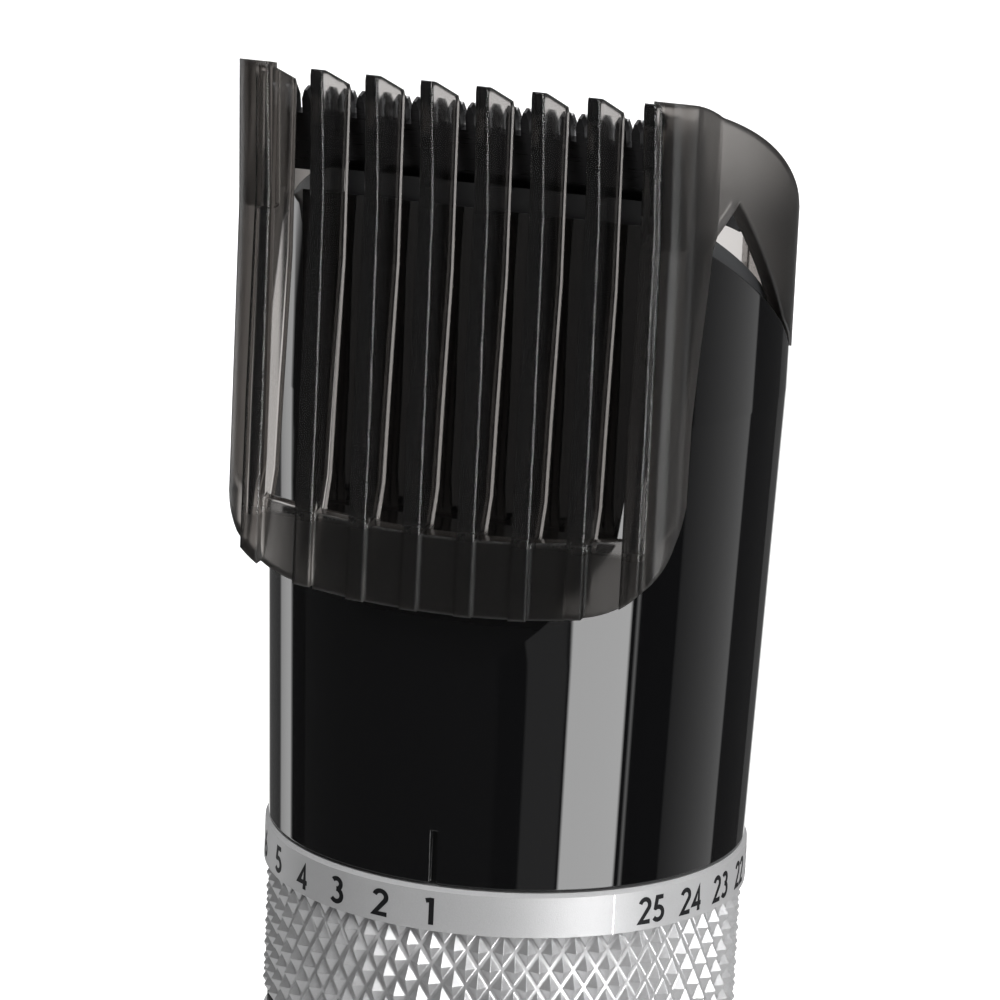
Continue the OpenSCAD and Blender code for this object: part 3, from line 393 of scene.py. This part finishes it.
def smoke_clear(finish):
    """Smoke-tinted clear plastic, finely grained on the side walls and the apron, which also take
    a darker tint as painted shade.
    """
    clear = (0.93, 0.925, 0.92)
    material, tree, shader = surface("smoke_clear", clear, 0.08, ior=ACRYLIC_IOR)
    shader.inputs["Transmission Weight"].default_value = 0.993
    axes = add(tree, "SeparateXYZ", {"Vector": own_place(tree)})
    wall, apron = COMB_HIGH.x - WALL_GRAIN_AND_SHADE, COMB_LOW.z + APRON_GRAIN_AND_SHADE
    # Mask of the grained walls and apron: it sets their roughness and their painted shade
    frost_and_shade = maths(tree, "MAXIMUM",
                    fit(tree, maths(tree, "ABSOLUTE", axes.outputs["X"]),
                        wall, wall + WALL_FADE, 0.0, 1.0),
                    fit(tree, axes.outputs["Z"], apron, apron + APRON_FADE, 1.0, 0.0))
    grain = use_group(tree, "Fine Grain", Scale=5200.0, Smooth=0.9, Rough=1.1)
    rough = maths(tree, "MULTIPLY", grain.outputs["Roughness"],
                  fit(tree, frost_and_shade, 0.0, 1.0, CLEAR_SHARE, finish.frost))
    tree.links.new(rough, shader.inputs["Roughness"])
    # Painted shade: the grained walls and apron are tinted darker than the clear parts
    tint(tree, shader, frost_and_shade, clear, finish.frost_tint)
    height = maths(tree, "MULTIPLY", grain.outputs["Height"],
                   fit(tree, frost_and_shade, 0.0, 1.0, CLEAR_SHARE, 1.0))
    bump(tree, shader, height, 0.25, 0.02 * MM)
    rounded(tree, shader, 0.45 * MM)
    smoke = add(tree, "VolumeAbsorption", {
        "Color": (*finish.smoke, 1.0), "Density": finish.smoke_density})
    tree.links.new(smoke.outputs["Volume"], tree.nodes["Material Output"].inputs["Volume"])
    return material


def ground_steel(name, color, roughness):
    """Steel ground along the blade: fine straight scratches."""
    along, across = 300.0, 9000.0
    material, tree, shader = surface(name, color, roughness, metallic=1.0)
    place = add(tree, "SeparateXYZ", {"Vector": own_place(tree)})
    streak = add(tree, "CombineXYZ", {
        "X": maths(tree, "MULTIPLY", place.outputs["X"], along),
        "Y": maths(tree, "MULTIPLY", place.outputs["Y"], across),
        "Z": maths(tree, "MULTIPLY", place.outputs["Z"], across)})
    noise = add(tree, "TexNoise", {
        "Vector": streak.outputs["Vector"], "Scale": 1.0, "Detail": 3.0}).outputs["Fac"]
    tree.links.new(fit(tree, noise, 0.3, 0.7, roughness * 0.7, roughness * 1.3),
                   shader.inputs["Roughness"])
    mottled(tree, shader, noise, color, 0.85, 1.15)
    bump(tree, shader, noise, 0.4, 0.01 * MM)
    return material


def plated(name, color, roughness):
    """Plated or bare metal on small parts, with slight handling marks."""
    material, tree, shader = surface(name, color, roughness, metallic=1.0)
    marks = use_group(tree, "Handling", Smudge_Scale=300.0, Speck_Scale=900.0)
    rough = maths(tree, "ADD", maths(tree, "MULTIPLY", marks.outputs["Smudge"], 0.12), roughness)
    tree.links.new(rough, shader.inputs["Roughness"])
    return material


def light_clear():
    """Clear light pipe."""
    material, tree, shader = surface("light_clear", (0.86, 0.92, 0.93), 0.12, ior=ACRYLIC_IOR)
    shader.inputs["Transmission Weight"].default_value = 0.9
    grained(tree, shader, 5000.0, 0.1, 0.2)
    return material


def dial_ink():
    """Black pad-printed ink."""
    material, tree, shader = surface("dial_ink", (0.006, 0.006, 0.007), 0.6)
    shader.inputs["Specular IOR Level"].default_value = 0.2
    grained(tree, shader, 12000.0, 0.5, 0.7)
    return material


# A finish for each material slot, made from the panel's finish settings where it has any.
FINISHES = {
    "satin_metal": satin_metal,
    "knurled_metal": knurled_metal,
    "gloss_black": gloss_black,
    "smoke_clear": smoke_clear,
    "light_clear": lambda f: light_clear(),
    "dial_ink": lambda f: dial_ink(),
    "matte_black": lambda f: moulded("matte_black", (0.028, 0.029, 0.031), 0.38, 0.55),
    "grey_plastic": lambda f: moulded("grey_plastic", (0.06, 0.062, 0.066), 0.4, 0.55),
    "white_nylon": lambda f: moulded("white_nylon", (0.72, 0.72, 0.69), 0.4, 0.5),
    "seal_rubber": lambda f: moulded("seal_rubber", (0.018, 0.018, 0.019), 0.6, 0.8, 5000.0),
    "cell_wrap": lambda f: moulded("cell_wrap", (0.03, 0.13, 0.24), 0.2, 0.3, 900.0, 0.02),
    "board_green": lambda f: moulded("board_green", (0.02, 0.13, 0.05), 0.3, 0.45, 3000.0),
    "dark_steel": lambda f: ground_steel("dark_steel", (0.035, 0.035, 0.037), 0.34),
    "blade_steel": lambda f: ground_steel("blade_steel", (0.42, 0.42, 0.43), 0.28),
    "bright_steel": lambda f: plated("bright_steel", (0.66, 0.66, 0.67), 0.18),
    "contact_brass": lambda f: plated("contact_brass", (0.72, 0.52, 0.24), 0.25),
}
MADE = {}


def material_for(slot):
    """The finish of a material slot, made once."""
    if slot not in MADE:
        if slot not in FINISHES:
            raise ValueError(f"no finish for the material slot {slot}")
        MADE[slot] = FINISHES[slot](bpy.context.scene.clipper_finish)
    return MADE[slot]


def dress(*names):
    """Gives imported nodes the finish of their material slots."""
    for name in names:
        for slot in NODES[name].material_slots:
            slot.link = "OBJECT"
            slot.material = material_for(SLOT_OF[name])


def placed(name, data):
    """An object for this data, in the scene at the origin."""
    made = bpy.data.objects.new(name, data)
    bpy.context.scene.collection.objects.link(made)
    return made


# ---- dial numbers ----


def arc(x, y, radius, start, end, steps=14):
    """Points along an arc, in degrees, clockwise where end is below start."""
    turns = [math.radians(start + (end - start) * i / steps) for i in range(steps + 1)]
    return [(x + radius * math.cos(t), y + radius * math.sin(t)) for t in turns]


# Each digit is a few strokes in a cell one unit tall and CELL_WIDE wide.
CELL_WIDE = 0.6
DIGITS = {
    "0": [arc(0.3, 0.69, 0.23, 0, 180) + arc(0.3, 0.31, 0.23, 180, 360) + [(0.53, 0.69)]],
    "1": [[(0.13, 0.88), (0.33, 0.93)], [(0.33, 1.0), (0.33, 0.0)]],
    "2": [arc(0.3, 0.70, 0.22, 165, -42) + [(0.09, 0.07), (0.56, 0.07)]],
    "3": [arc(0.29, 0.735, 0.19, 145, -90), arc(0.29, 0.31, 0.235, 90, -145)],
    "4": [[(0.44, 0.0), (0.44, 0.86), (0.10, 0.27), (0.58, 0.27)]],
    "5": [[(0.52, 0.92), (0.22, 0.92), (0.15, 0.53)] + arc(0.28, 0.31, 0.24, 118, -145)],
    "6": [[(0.42, 0.97), (0.10, 0.42)], arc(0.30, 0.30, 0.23, 0, 360, 24)],
    "7": [[(0.06, 0.92), (0.52, 0.92), (0.18, 0.0)]],
    "8": [arc(0.3, 0.745, 0.18, 0, 360, 20), arc(0.3, 0.30, 0.23, 0, 360, 24)],
    "9": [[(0.18, 0.03), (0.50, 0.58)], arc(0.30, 0.70, 0.23, 0, 360, 24)],
}
DIGIT_STEP = 0.67                 # from one digit of a pair to the next
WIDE_ONE, WIDE_PAIR = 1.1, 0.92   # how far single digits and pairs are widened
PRINT_ROOT = 0.1 * MM             # how deep a print's ribbon starts inside the band
SEAM_HALF = 0.05 * MM             # half the foil seam's width
SEAM_PROUD = 0.01 * MM
SEAM_SHORT = 0.4 * MM             # the seam ends this far below the band's top
TINY = 1e-6


def stroke_sides(line, half):
    """The left and right edge of a stroke of that half width along a line."""
    closed = math.dist(line[0], line[-1]) < TINY
    left, right = [], []
    for i, (x, y) in enumerate(line):
        before = line[i - 1] if i else (line[-2] if closed else line[0])
        after = line[i + 1] if i + 1 < len(line) else (line[1] if closed else line[-1])
        a = Vector((x - before[0], y - before[1]))
        b = Vector((after[0] - x, after[1] - y))
        a = a.normalized() if a.length > TINY else b.normalized()
        b = b.normalized() if b.length > TINY else a
        way = (a + b).normalized() if (a + b).length > TINY else a
        reach = half / max(0.5, way.dot(a))      # a sharp corner is mitred to twice at most
        left.append((x - way.y * reach, y + way.x * reach))
        right.append((x + way.y * reach, y - way.x * reach))
    return left, right


def wrap_stroke(mesh, line, half, place, low, high):
    """A thin closed ribbon round the ring; place(x, y, radius) gives a point of it."""
    left, right = stroke_sides(line, half)
    rings = []
    for (lx, ly), (rx, ry) in zip(left, right):
        rings.append([mesh.verts.new(place(x, y, r)) for x, y, r in (
            (lx, ly, low), (lx, ly, high), (rx, ry, high), (rx, ry, low))])
    for one, two in zip(rings, rings[1:]):
        for i in range(4):
            j = (i + 1) % 4
            mesh.faces.new((one[i], one[j], two[j], two[i]))
    mesh.faces.new(rings[0][::-1])
    mesh.faces.new(rings[-1])


def finish_mesh(mesh, name, slot):
    """A bmesh as an object at the origin, with outward faces and one finish."""
    bmesh.ops.recalc_face_normals(mesh, faces=mesh.faces)
    data = bpy.data.meshes.new(name)
    mesh.to_mesh(data)
    mesh.free()
    data.materials.append(material_for(slot))
    return placed(name, data)


def dial_numbers(dial):
    """The printed numbers, counted to the left of the index mark."""
    mesh = bmesh.new()
    radius, foot = RING_HIGH.x, GRIP_HIGH.z + dial.base_line
    size, half = dial.height, dial.stroke / dial.height / 2
    for number in range(1, dial.settings + 1):
        label = str(number)
        wide = DIGIT_STEP * (len(label) - 1) + CELL_WIDE
        stretch = WIDE_ONE if len(label) == 1 else WIDE_PAIR
        middle = -math.pi / 2 - dial.arc * (number - 1) / (dial.settings - 1)
        for i, digit in enumerate(label):
            def place(x, y, r, shift=DIGIT_STEP * i - wide / 2, middle=middle, stretch=stretch):
                turn = middle + (x + shift) * stretch * size / radius
                return (r * math.cos(turn), r * math.sin(turn), foot + y * size)
            for line in DIGITS[digit]:
                wrap_stroke(mesh, line, half, place, radius - PRINT_ROOT, radius + dial.ink)
    return finish_mesh(mesh, "dial_numbers", "dial_ink")


def foil_seam(dial):
    """The fine upright seam of the band's foil, between the last number and the first."""
    mesh = bmesh.new()
    radius = RING_HIGH.x
    height = RING_HIGH.z - GRIP_HIGH.z - SEAM_SHORT
    middle = -math.pi / 2 + dial.seam_at

    def place(x, y, r):
        turn = middle + x / radius
        return (r * math.cos(turn), r * math.sin(turn), GRIP_HIGH.z + y)

    line = [(0.0, height * i / 4) for i in range(5)]
    wrap_stroke(mesh, line, SEAM_HALF, place, radius - PRINT_ROOT, radius + SEAM_PROUD)
    return finish_mesh(mesh, "foil_seam", "bright_steel")


# ---- knurl ----


POINT_INSET = 0.23 * MM    # how far the knurl's points stay inside the grip's outline
SUNK = 0.05 * MM           # how deep a diamond's foot is sunk in the tube
BLUNT = 0.06               # a diamond's flat tip, as a share of its foot


def nodes_group(name, numbers, counts):
    """An empty Geometry Nodes tree with named inputs, and its two end nodes."""
    tree = bpy.data.node_groups.new(name, "GeometryNodeTree")
    for labels, kind in ((counts, "NodeSocketInt"), (numbers, "NodeSocketFloat")):
        for label in labels:
            tree.interface.new_socket(name=label, in_out="INPUT", socket_type=kind)
    tree.interface.new_socket(name="Finish", in_out="INPUT", socket_type="NodeSocketMaterial")
    tree.interface.new_socket(name="Geometry", in_out="OUTPUT", socket_type="NodeSocketGeometry")
    return tree, tree.nodes.new("NodeGroupInput"), tree.nodes.new("NodeGroupOutput")


def knurl_tree():
    """A tube with rows of diamonds round it; each second row stands half a diamond on."""
    tree, given, result = nodes_group(
        "Diamond Knurl", ("Bore", "Groove Radius", "Relief", "Bottom", "Top", "Row Height",
                          "Cover", "Phase"), ("Columns", "Rows"))
    value = given.outputs
    count = maths(tree, "MULTIPLY", value["Columns"], value["Rows"])
    index = add(tree, "GeometryNodeInputIndex").outputs["Index"]
    column = maths(tree, "MODULO", index, value["Columns"])
    row = maths(tree, "FLOOR", maths(tree, "DIVIDE", index, value["Columns"]))
    step = maths(tree, "DIVIDE", 2 * math.pi, value["Columns"])
    half = maths(tree, "MULTIPLY", maths(tree, "MODULO", row, 2.0), 0.5)
    turn = maths(tree, "ADD", value["Phase"],
                 maths(tree, "MULTIPLY", maths(tree, "ADD", column, half), step))
    seat = maths(tree, "SUBTRACT", value["Groove Radius"], SUNK)
    place = add(tree, "CombineXYZ", {
        "X": maths(tree, "MULTIPLY", maths(tree, "COSINE", turn), seat),
        "Y": maths(tree, "MULTIPLY", maths(tree, "SINE", turn), seat),
        "Z": maths(tree, "SUBTRACT", value["Top"],
                   maths(tree, "MULTIPLY", row, value["Row Height"]))}).outputs["Vector"]
    line = add(tree, "GeometryNodeMeshLine", {"Count": count}).outputs["Mesh"]
    points = add(tree, "GeometryNodeSetPosition", {"Geometry": line, "Position": place})
    diamond = add(tree, "GeometryNodeMeshCone", {
        "Vertices": 4, "Radius Top": BLUNT, "Radius Bottom": 1.0, "Depth": 1.0}).outputs["Mesh"]
    wide = maths(tree, "MULTIPLY", maths(tree, "MULTIPLY", step, seat),
                 maths(tree, "MULTIPLY", value["Cover"], 0.5))
    size = add(tree, "CombineXYZ", {
        "X": wide, "Y": maths(tree, "MULTIPLY", value["Row Height"], value["Cover"]),
        "Z": maths(tree, "ADD", value["Relief"], SUNK)}).outputs["Vector"]
    facing = add(tree, "CombineXYZ", {
        "X": math.pi / 2, "Y": 0.0, "Z": maths(tree, "ADD", turn, math.pi / 2)}).outputs["Vector"]
    stand = add(tree, "GeometryNodeInstanceOnPoints", {
        "Points": points.outputs["Geometry"], "Instance": diamond, "Rotation": facing,
        "Scale": size}).outputs["Instances"]
    loose = add(tree, "GeometryNodeRealizeInstances", {"Geometry": stand}).outputs["Geometry"]
    spot = add(tree, "SeparateXYZ", {
        "Vector": add(tree, "GeometryNodeInputPosition").outputs["Position"]})
    level = maths(tree, "MINIMUM", value["Top"],
                  maths(tree, "MAXIMUM", value["Bottom"], spot.outputs["Z"]))
    cut = add(tree, "CombineXYZ", {
        "X": spot.outputs["X"], "Y": spot.outputs["Y"], "Z": level}).outputs["Vector"]
    held = add(tree, "GeometryNodeSetPosition", {"Geometry": loose, "Position": cut})

    circle = add(tree, "GeometryNodeCurvePrimitiveCircle", {
        "Resolution": maths(tree, "MULTIPLY", value["Columns"], 2.0),
        "Radius": maths(tree, "MULTIPLY", maths(
            tree, "ADD", value["Bore"], value["Groove Radius"]), 0.5)}).outputs["Curve"]
    wall = add(tree, "GeometryNodeCurvePrimitiveQuadrilateral", {
        "Width": maths(tree, "SUBTRACT", value["Groove Radius"], value["Bore"]),
        "Height": maths(tree, "SUBTRACT", value["Top"], value["Bottom"])}).outputs["Curve"]
    tube = add(tree, "GeometryNodeCurveToMesh", {
        "Curve": circle, "Profile Curve": wall}).outputs["Mesh"]
    middle = maths(tree, "MULTIPLY", maths(tree, "ADD", value["Top"], value["Bottom"]), 0.5)
    lifted = add(tree, "GeometryNodeTransform", {
        "Geometry": tube, "Translation": add(
            tree, "CombineXYZ", {"X": 0.0, "Y": 0.0, "Z": middle}).outputs["Vector"]})
    joined = add(tree, "GeometryNodeJoinGeometry")
    for part in (held.outputs["Geometry"], lifted.outputs["Geometry"]):
        tree.links.new(part, joined.inputs["Geometry"])
    whole = add(tree, "GeometryNodeRealizeInstances", {
        "Geometry": joined.outputs["Geometry"]}).outputs["Geometry"]
    coated = add(tree, "GeometryNodeSetMaterial", {
        "Geometry": whole, "Material": value["Finish"]}).outputs["Geometry"]
    tree.links.new(coated, result.inputs["Geometry"])
    return tree


def grown(name, tree, values, slot):
    """The mesh that a Geometry Nodes tree makes from these inputs, as a plain object."""
    seed = placed(name + "_seed", bpy.data.meshes.new(name + "_seed"))
    modifier = seed.modifiers.new(name, "NODES")
    modifier.node_group = tree
    for socket in tree.interface.items_tree:
        if socket.in_out == "INPUT":
            modifier[socket.identifier] = (
                material_for(slot) if socket.name == "Finish" else values[socket.name])
    held = seed.evaluated_get(bpy.context.evaluated_depsgraph_get())
    data = bpy.data.meshes.new_from_object(held)
    bpy.data.objects.remove(seed)
    data.name = name
    mesh = bmesh.new()
    mesh.from_mesh(data)
    bmesh.ops.recalc_face_normals(mesh, faces=mesh.faces)
    mesh.to_mesh(data)
    mesh.free()
    return placed(name, data)


def knurl(settings):
    """The knurled grip below the numbered band."""
    return grown("diamond_knurl", knurl_tree(), {
        "Columns": settings.columns, "Rows": settings.rows, "Bore": GRIP_BORE,
        "Groove Radius": GRIP_HIGH.x - POINT_INSET - settings.relief,
        "Relief": settings.relief, "Bottom": GRIP_LOW.z, "Top": GRIP_HIGH.z,
        "Row Height": settings.row_height, "Cover": settings.cover,
        "Phase": settings.phase}, "knurled_metal")


# ---- studio ----


FLOOR_REACH = 6.0
FLOOR_GLOW = 0.45          # lifts the floor to white for the camera; the shadow stays


def floor():
    """White floor that keeps the object's shadow."""
    far = FLOOR_REACH
    data = bpy.data.meshes.new("floor")
    data.from_pydata([(-far, -far, 0), (far, -far, 0), (far, far, 0), (-far, far, 0)],
                     [], [(0, 1, 2, 3)])
    made = placed("floor", data)
    material, tree, shader = surface("floor_white", (0.82, 0.82, 0.82), 0.9)
    grained(tree, shader, 400.0, 0.85, 0.95)
    shader.inputs["Specular IOR Level"].default_value = 0.0
    shader.inputs["Emission Color"].default_value = (1.0, 1.0, 1.0, 1.0)
    path = add(tree, "LightPath")
    tree.links.new(maths(tree, "MULTIPLY", path.outputs["Is Camera Ray"], FLOOR_GLOW),
                   shader.inputs["Emission Strength"])
    data.materials.append(material)
    made.visible_glossy = made.visible_transmission = False


# Softboxes and flags round the camera's direction, in degrees to the right of it:
# where a band starts, and its level at the start and the end. The last row closes the round.
BANDS = (
    (-180, 1.0, 1.0), (-167, 0.12, 0.12), (-142, 1.0, 2.4), (-128, 0.03, 0.03),
    (-115, 0.07, 0.07), (-7, 0.03, 0.03), (6, 0.35, 0.35),
    (24, 0.03, 0.03), (26, 8.4, 8.4), (54.5, 0.03, 0.03), (57, 2.0, 2.0), (58.4, 0.02, 0.02),
    (80, 0.25, 0.85), (119, 0.05, 0.05), (150, 0.12, 0.12), (167, 1.0, 1.0), (180, 1.0, 1.0),
)
BAND_EDGE = 0.1            # degrees over which one band turns into the next, on each side
BRIGHTEST = 10.0           # level that a full white stop of the ramp stands for
CAP_START, CAP_FULL = 0.5, 0.62        # sine of the height at which the bands end
TOP_LEVEL, UNDER_LEVEL = 1.3, 0.7      # light from above and from below the bands

# What is seen through the comb: the white backdrop beyond these angles, a fill card from the
# left to just right of the camera, and elsewhere this share of the bands' light.
BACKDROP_LEFT, BACKDROP_RIGHT, BACKDROP_LEVEL = -125.0, 172.0, 1.6
BACKDROP_FADE = 18.0
FILL_FROM, FILL_TO, FILL_LEVEL = -80.0, 20.0, 0.9
FILL_FADE = 7.2
THROUGH_GLASS = 0.25


def studio_light(studio):
    """World light: softboxes by azimuth, light from above and below, and white where seen."""
    world = bpy.data.worlds.new("studio")
    bpy.context.scene.world = world
    world.use_nodes = True
    tree = world.node_tree
    tree.nodes.clear()
    way = add(tree, "VectorRotate", {
        "Vector": add(tree, "TexCoord").outputs["Generated"], "Angle": -studio.azimuth},
        rotation_type="Z_AXIS")
    axes = add(tree, "SeparateXYZ", {"Vector": way.outputs["Vector"]})
    angle = maths(tree, "ARCTAN2", axes.outputs["X"],
                  maths(tree, "MULTIPLY", axes.outputs["Y"], -1.0))
    around = maths(tree, "ADD", maths(tree, "DIVIDE", angle, 2 * math.pi), 0.5)

    def between(start, end, low, high):
        """A level that runs smoothly from low to high between two angles in degrees."""
        return fit(tree, around, 0.5 + start / 360, 0.5 + end / 360, low, high, smooth=True)

    ramp = add(tree, "ValToRGB", {"Fac": around})
    stops = ramp.color_ramp.elements
    marks = []
    for (start, low, high), (end, _, _) in zip(BANDS, BANDS[1:]):
        marks.append((start + BAND_EDGE, low / BRIGHTEST))
        marks.append((end - BAND_EDGE, high / BRIGHTEST))
    while len(stops) < len(marks):
        stops.new(1.0)
    for stop, (mark, white) in zip(stops, marks):
        stop.position = (mark + 180) / 360
        stop.color = (white, white, white, 1.0)
    bands = maths(tree, "MULTIPLY", ramp.outputs["Color"], BRIGHTEST)
    above = fit(tree, axes.outputs["Z"], CAP_START, CAP_FULL, 0.0, 1.0, smooth=True)
    below = fit(tree, axes.outputs["Z"], -CAP_FULL, -CAP_START, 1.0, 0.0, smooth=True)
    cap = maths(tree, "MAXIMUM", above, below)
    level = maths(tree, "ADD", maths(tree, "MULTIPLY", bands, maths(tree, "SUBTRACT", 1.0, cap)),
                  maths(tree, "ADD", maths(tree, "MULTIPLY", above, TOP_LEVEL),
                        maths(tree, "MULTIPLY", below, UNDER_LEVEL)))
    level = maths(tree, "MULTIPLY", level, studio.light)
    path = add(tree, "LightPath")
    through = path.outputs["Is Transmission Ray"]
    level = maths(tree, "MULTIPLY", level, fit(tree, through, 0.0, 1.0, 1.0, THROUGH_GLASS))
    backdrop = maths(tree, "MULTIPLY", BACKDROP_LEVEL, maths(
        tree, "MAXIMUM",
        between(BACKDROP_LEFT, BACKDROP_LEFT + BACKDROP_FADE, 1.0, 0.0),
        between(BACKDROP_RIGHT - BACKDROP_FADE, BACKDROP_RIGHT, 0.0, 1.0)))
    fill = maths(tree, "MULTIPLY",
                 between(FILL_FROM, FILL_FROM + FILL_FADE, 0.0, FILL_LEVEL),
                 between(FILL_TO - FILL_FADE, FILL_TO, 1.0, 0.0))
    direct = maths(tree, "MAXIMUM", path.outputs["Is Camera Ray"],
                   maths(tree, "MULTIPLY", through, maths(tree, "MAXIMUM", backdrop, fill)))
    strength = maths(tree, "ADD", maths(tree, "MULTIPLY", level, maths(
        tree, "SUBTRACT", 1.0, direct)), direct)
    back = add(tree, "Background", {"Color": (1, 1, 1, 1), "Strength": strength})
    out = add(tree, "OutputWorld")
    tree.links.new(back.outputs["Background"], out.inputs["Surface"])


def camera(studio):
    """The camera at the viewing angle, as the scene's camera."""
    data = bpy.data.cameras.new("camera")
    data.sensor_width, data.lens = 36.0, studio.lens
    made = placed("camera", data)
    side, rise = studio.azimuth, studio.elevation
    back = Vector((math.sin(side) * math.cos(rise), -math.cos(side) * math.cos(rise),
                   math.sin(rise)))
    made.rotation_mode = "QUATERNION"
    made.location = Vector(studio.aim) + back * studio.distance
    made.rotation_quaternion = ((-back).to_track_quat("-Z", "Y")
                                @ Quaternion((0.0, 0.0, 1.0), studio.roll))
    data.clip_start, data.clip_end = 0.01, 100.0
    bpy.context.scene.camera = made


# ---- operators, one for each group of pieces ----


class CLIPPER_OT_handle(bpy.types.Operator):
    """Finishes the handle, its base and its switch"""
    bl_idname = "clipper.handle"
    bl_label = "Handle"

    def execute(self, context):
        dress("base_cap", "base_screws", "charging_jack", "handle_sleeve", "chassis", "seal_ring",
              "switch_bezel", "power_switch", "charge_light")
        return {"FINISHED"}


class CLIPPER_OT_power(bpy.types.Operator):
    """Finishes the battery, its contacts and the board"""
    bl_idname = "clipper.power"
    bl_label = "Battery and board"

    def execute(self, context):
        dress("battery", "battery_tray", "contact_minus", "contact_plus", "circuit_board",
              "board_switch")
        return {"FINISHED"}


class CLIPPER_OT_zoom_ring(bpy.types.Operator):
    """Finishes the zoom ring, knurls its grip and prints its numbers"""
    bl_idname = "clipper.zoom_ring"
    bl_label = "Zoom ring"

    def execute(self, context):
        dress("number_ring", "knurl_grip", "cam_drum", "drum_key", "detent_spring", "carriage")
        grip = knurl(context.scene.clipper_knurl)
        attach(grip, "zoom_ring")
        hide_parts("knurl_grip")
        for made in (dial_numbers(context.scene.clipper_dial),
                     foil_seam(context.scene.clipper_dial)):
            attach(made, "zoom_ring")
        return {"FINISHED"}


class CLIPPER_OT_neck(bpy.types.Operator):
    """Finishes the neck, the head frame and the motor"""
    bl_idname = "clipper.neck"
    bl_label = "Neck and drive"

    def execute(self, context):
        dress("neck_shell", "neck_nut", "head_frame", "frame_screws", "drive_cover", "motor_can",
              "motor_cap", "motor_plate", "plate_screws", "motor_shaft", "eccentric")
        return {"FINISHED"}


class CLIPPER_OT_blades(bpy.types.Operator):
    """Finishes the blades and what carries them"""
    bl_idname = "clipper.blades"
    bl_label = "Blades"

    def execute(self, context):
        dress("blade_holder", "fixed_blade", "blade_screws", "cutter_blade", "cutter_yoke",
              "tension_spring")
        return {"FINISHED"}


class CLIPPER_OT_comb(bpy.types.Operator):
    """Finishes the guide comb in smoke-tinted plastic"""
    bl_idname = "clipper.comb"
    bl_label = "Guide comb"

    def execute(self, context):
        dress("guide_comb")
        return {"FINISHED"}


class CLIPPER_OT_stage(bpy.types.Operator):
    """Makes the floor, the light and the camera"""
    bl_idname = "clipper.stage"
    bl_label = "Studio"

    def execute(self, context):
        studio = context.scene.clipper_studio
        floor()
        studio_light(studio)
        camera(studio)
        context.scene.view_settings.view_transform = "Standard"
        return {"FINISHED"}


OPERATORS = (
    CLIPPER_OT_stage, CLIPPER_OT_handle, CLIPPER_OT_power, CLIPPER_OT_zoom_ring,
    CLIPPER_OT_neck, CLIPPER_OT_blades, CLIPPER_OT_comb,
)
GROUP_PROPERTIES = {
    "clipper_dial": ClipperDial, "clipper_knurl": ClipperKnurl, "clipper_finish": ClipperFinish,
    "clipper_studio": ClipperStudio,
}


class CLIPPER_PT_panel(bpy.types.Panel):
    """Lists the clipper's groups of pieces"""
    bl_idname = "CLIPPER_PT_panel"
    bl_label = "Hair Clipper"
    bl_space_type = "VIEW_3D"
    bl_region_type = "UI"
    bl_category = "Clipper"

    def draw(self, context):
        for name in GROUP_PROPERTIES:
            box = self.layout.box()
            group = getattr(context.scene, name)
            for key in group.__annotations__:
                box.prop(group, key)
        for operator in OPERATORS:
            self.layout.operator(operator.bl_idname)


def register():
    for group in GROUP_PROPERTIES.values():
        bpy.utils.register_class(group)
    for name, group in GROUP_PROPERTIES.items():
        setattr(bpy.types.Scene, name, PointerProperty(type=group))
    for shown in (*OPERATORS, CLIPPER_PT_panel):
        bpy.utils.register_class(shown)


def unregister():
    for shown in (CLIPPER_PT_panel, *reversed(OPERATORS)):
        bpy.utils.unregister_class(shown)
    for name, group in GROUP_PROPERTIES.items():
        delattr(bpy.types.Scene, name)
        bpy.utils.unregister_class(group)


def main():
    register()
    for operator in OPERATORS:
        area, name = operator.bl_idname.split(".")
        getattr(getattr(bpy.ops, area), name)()


if __name__ == "__main__":
    main()
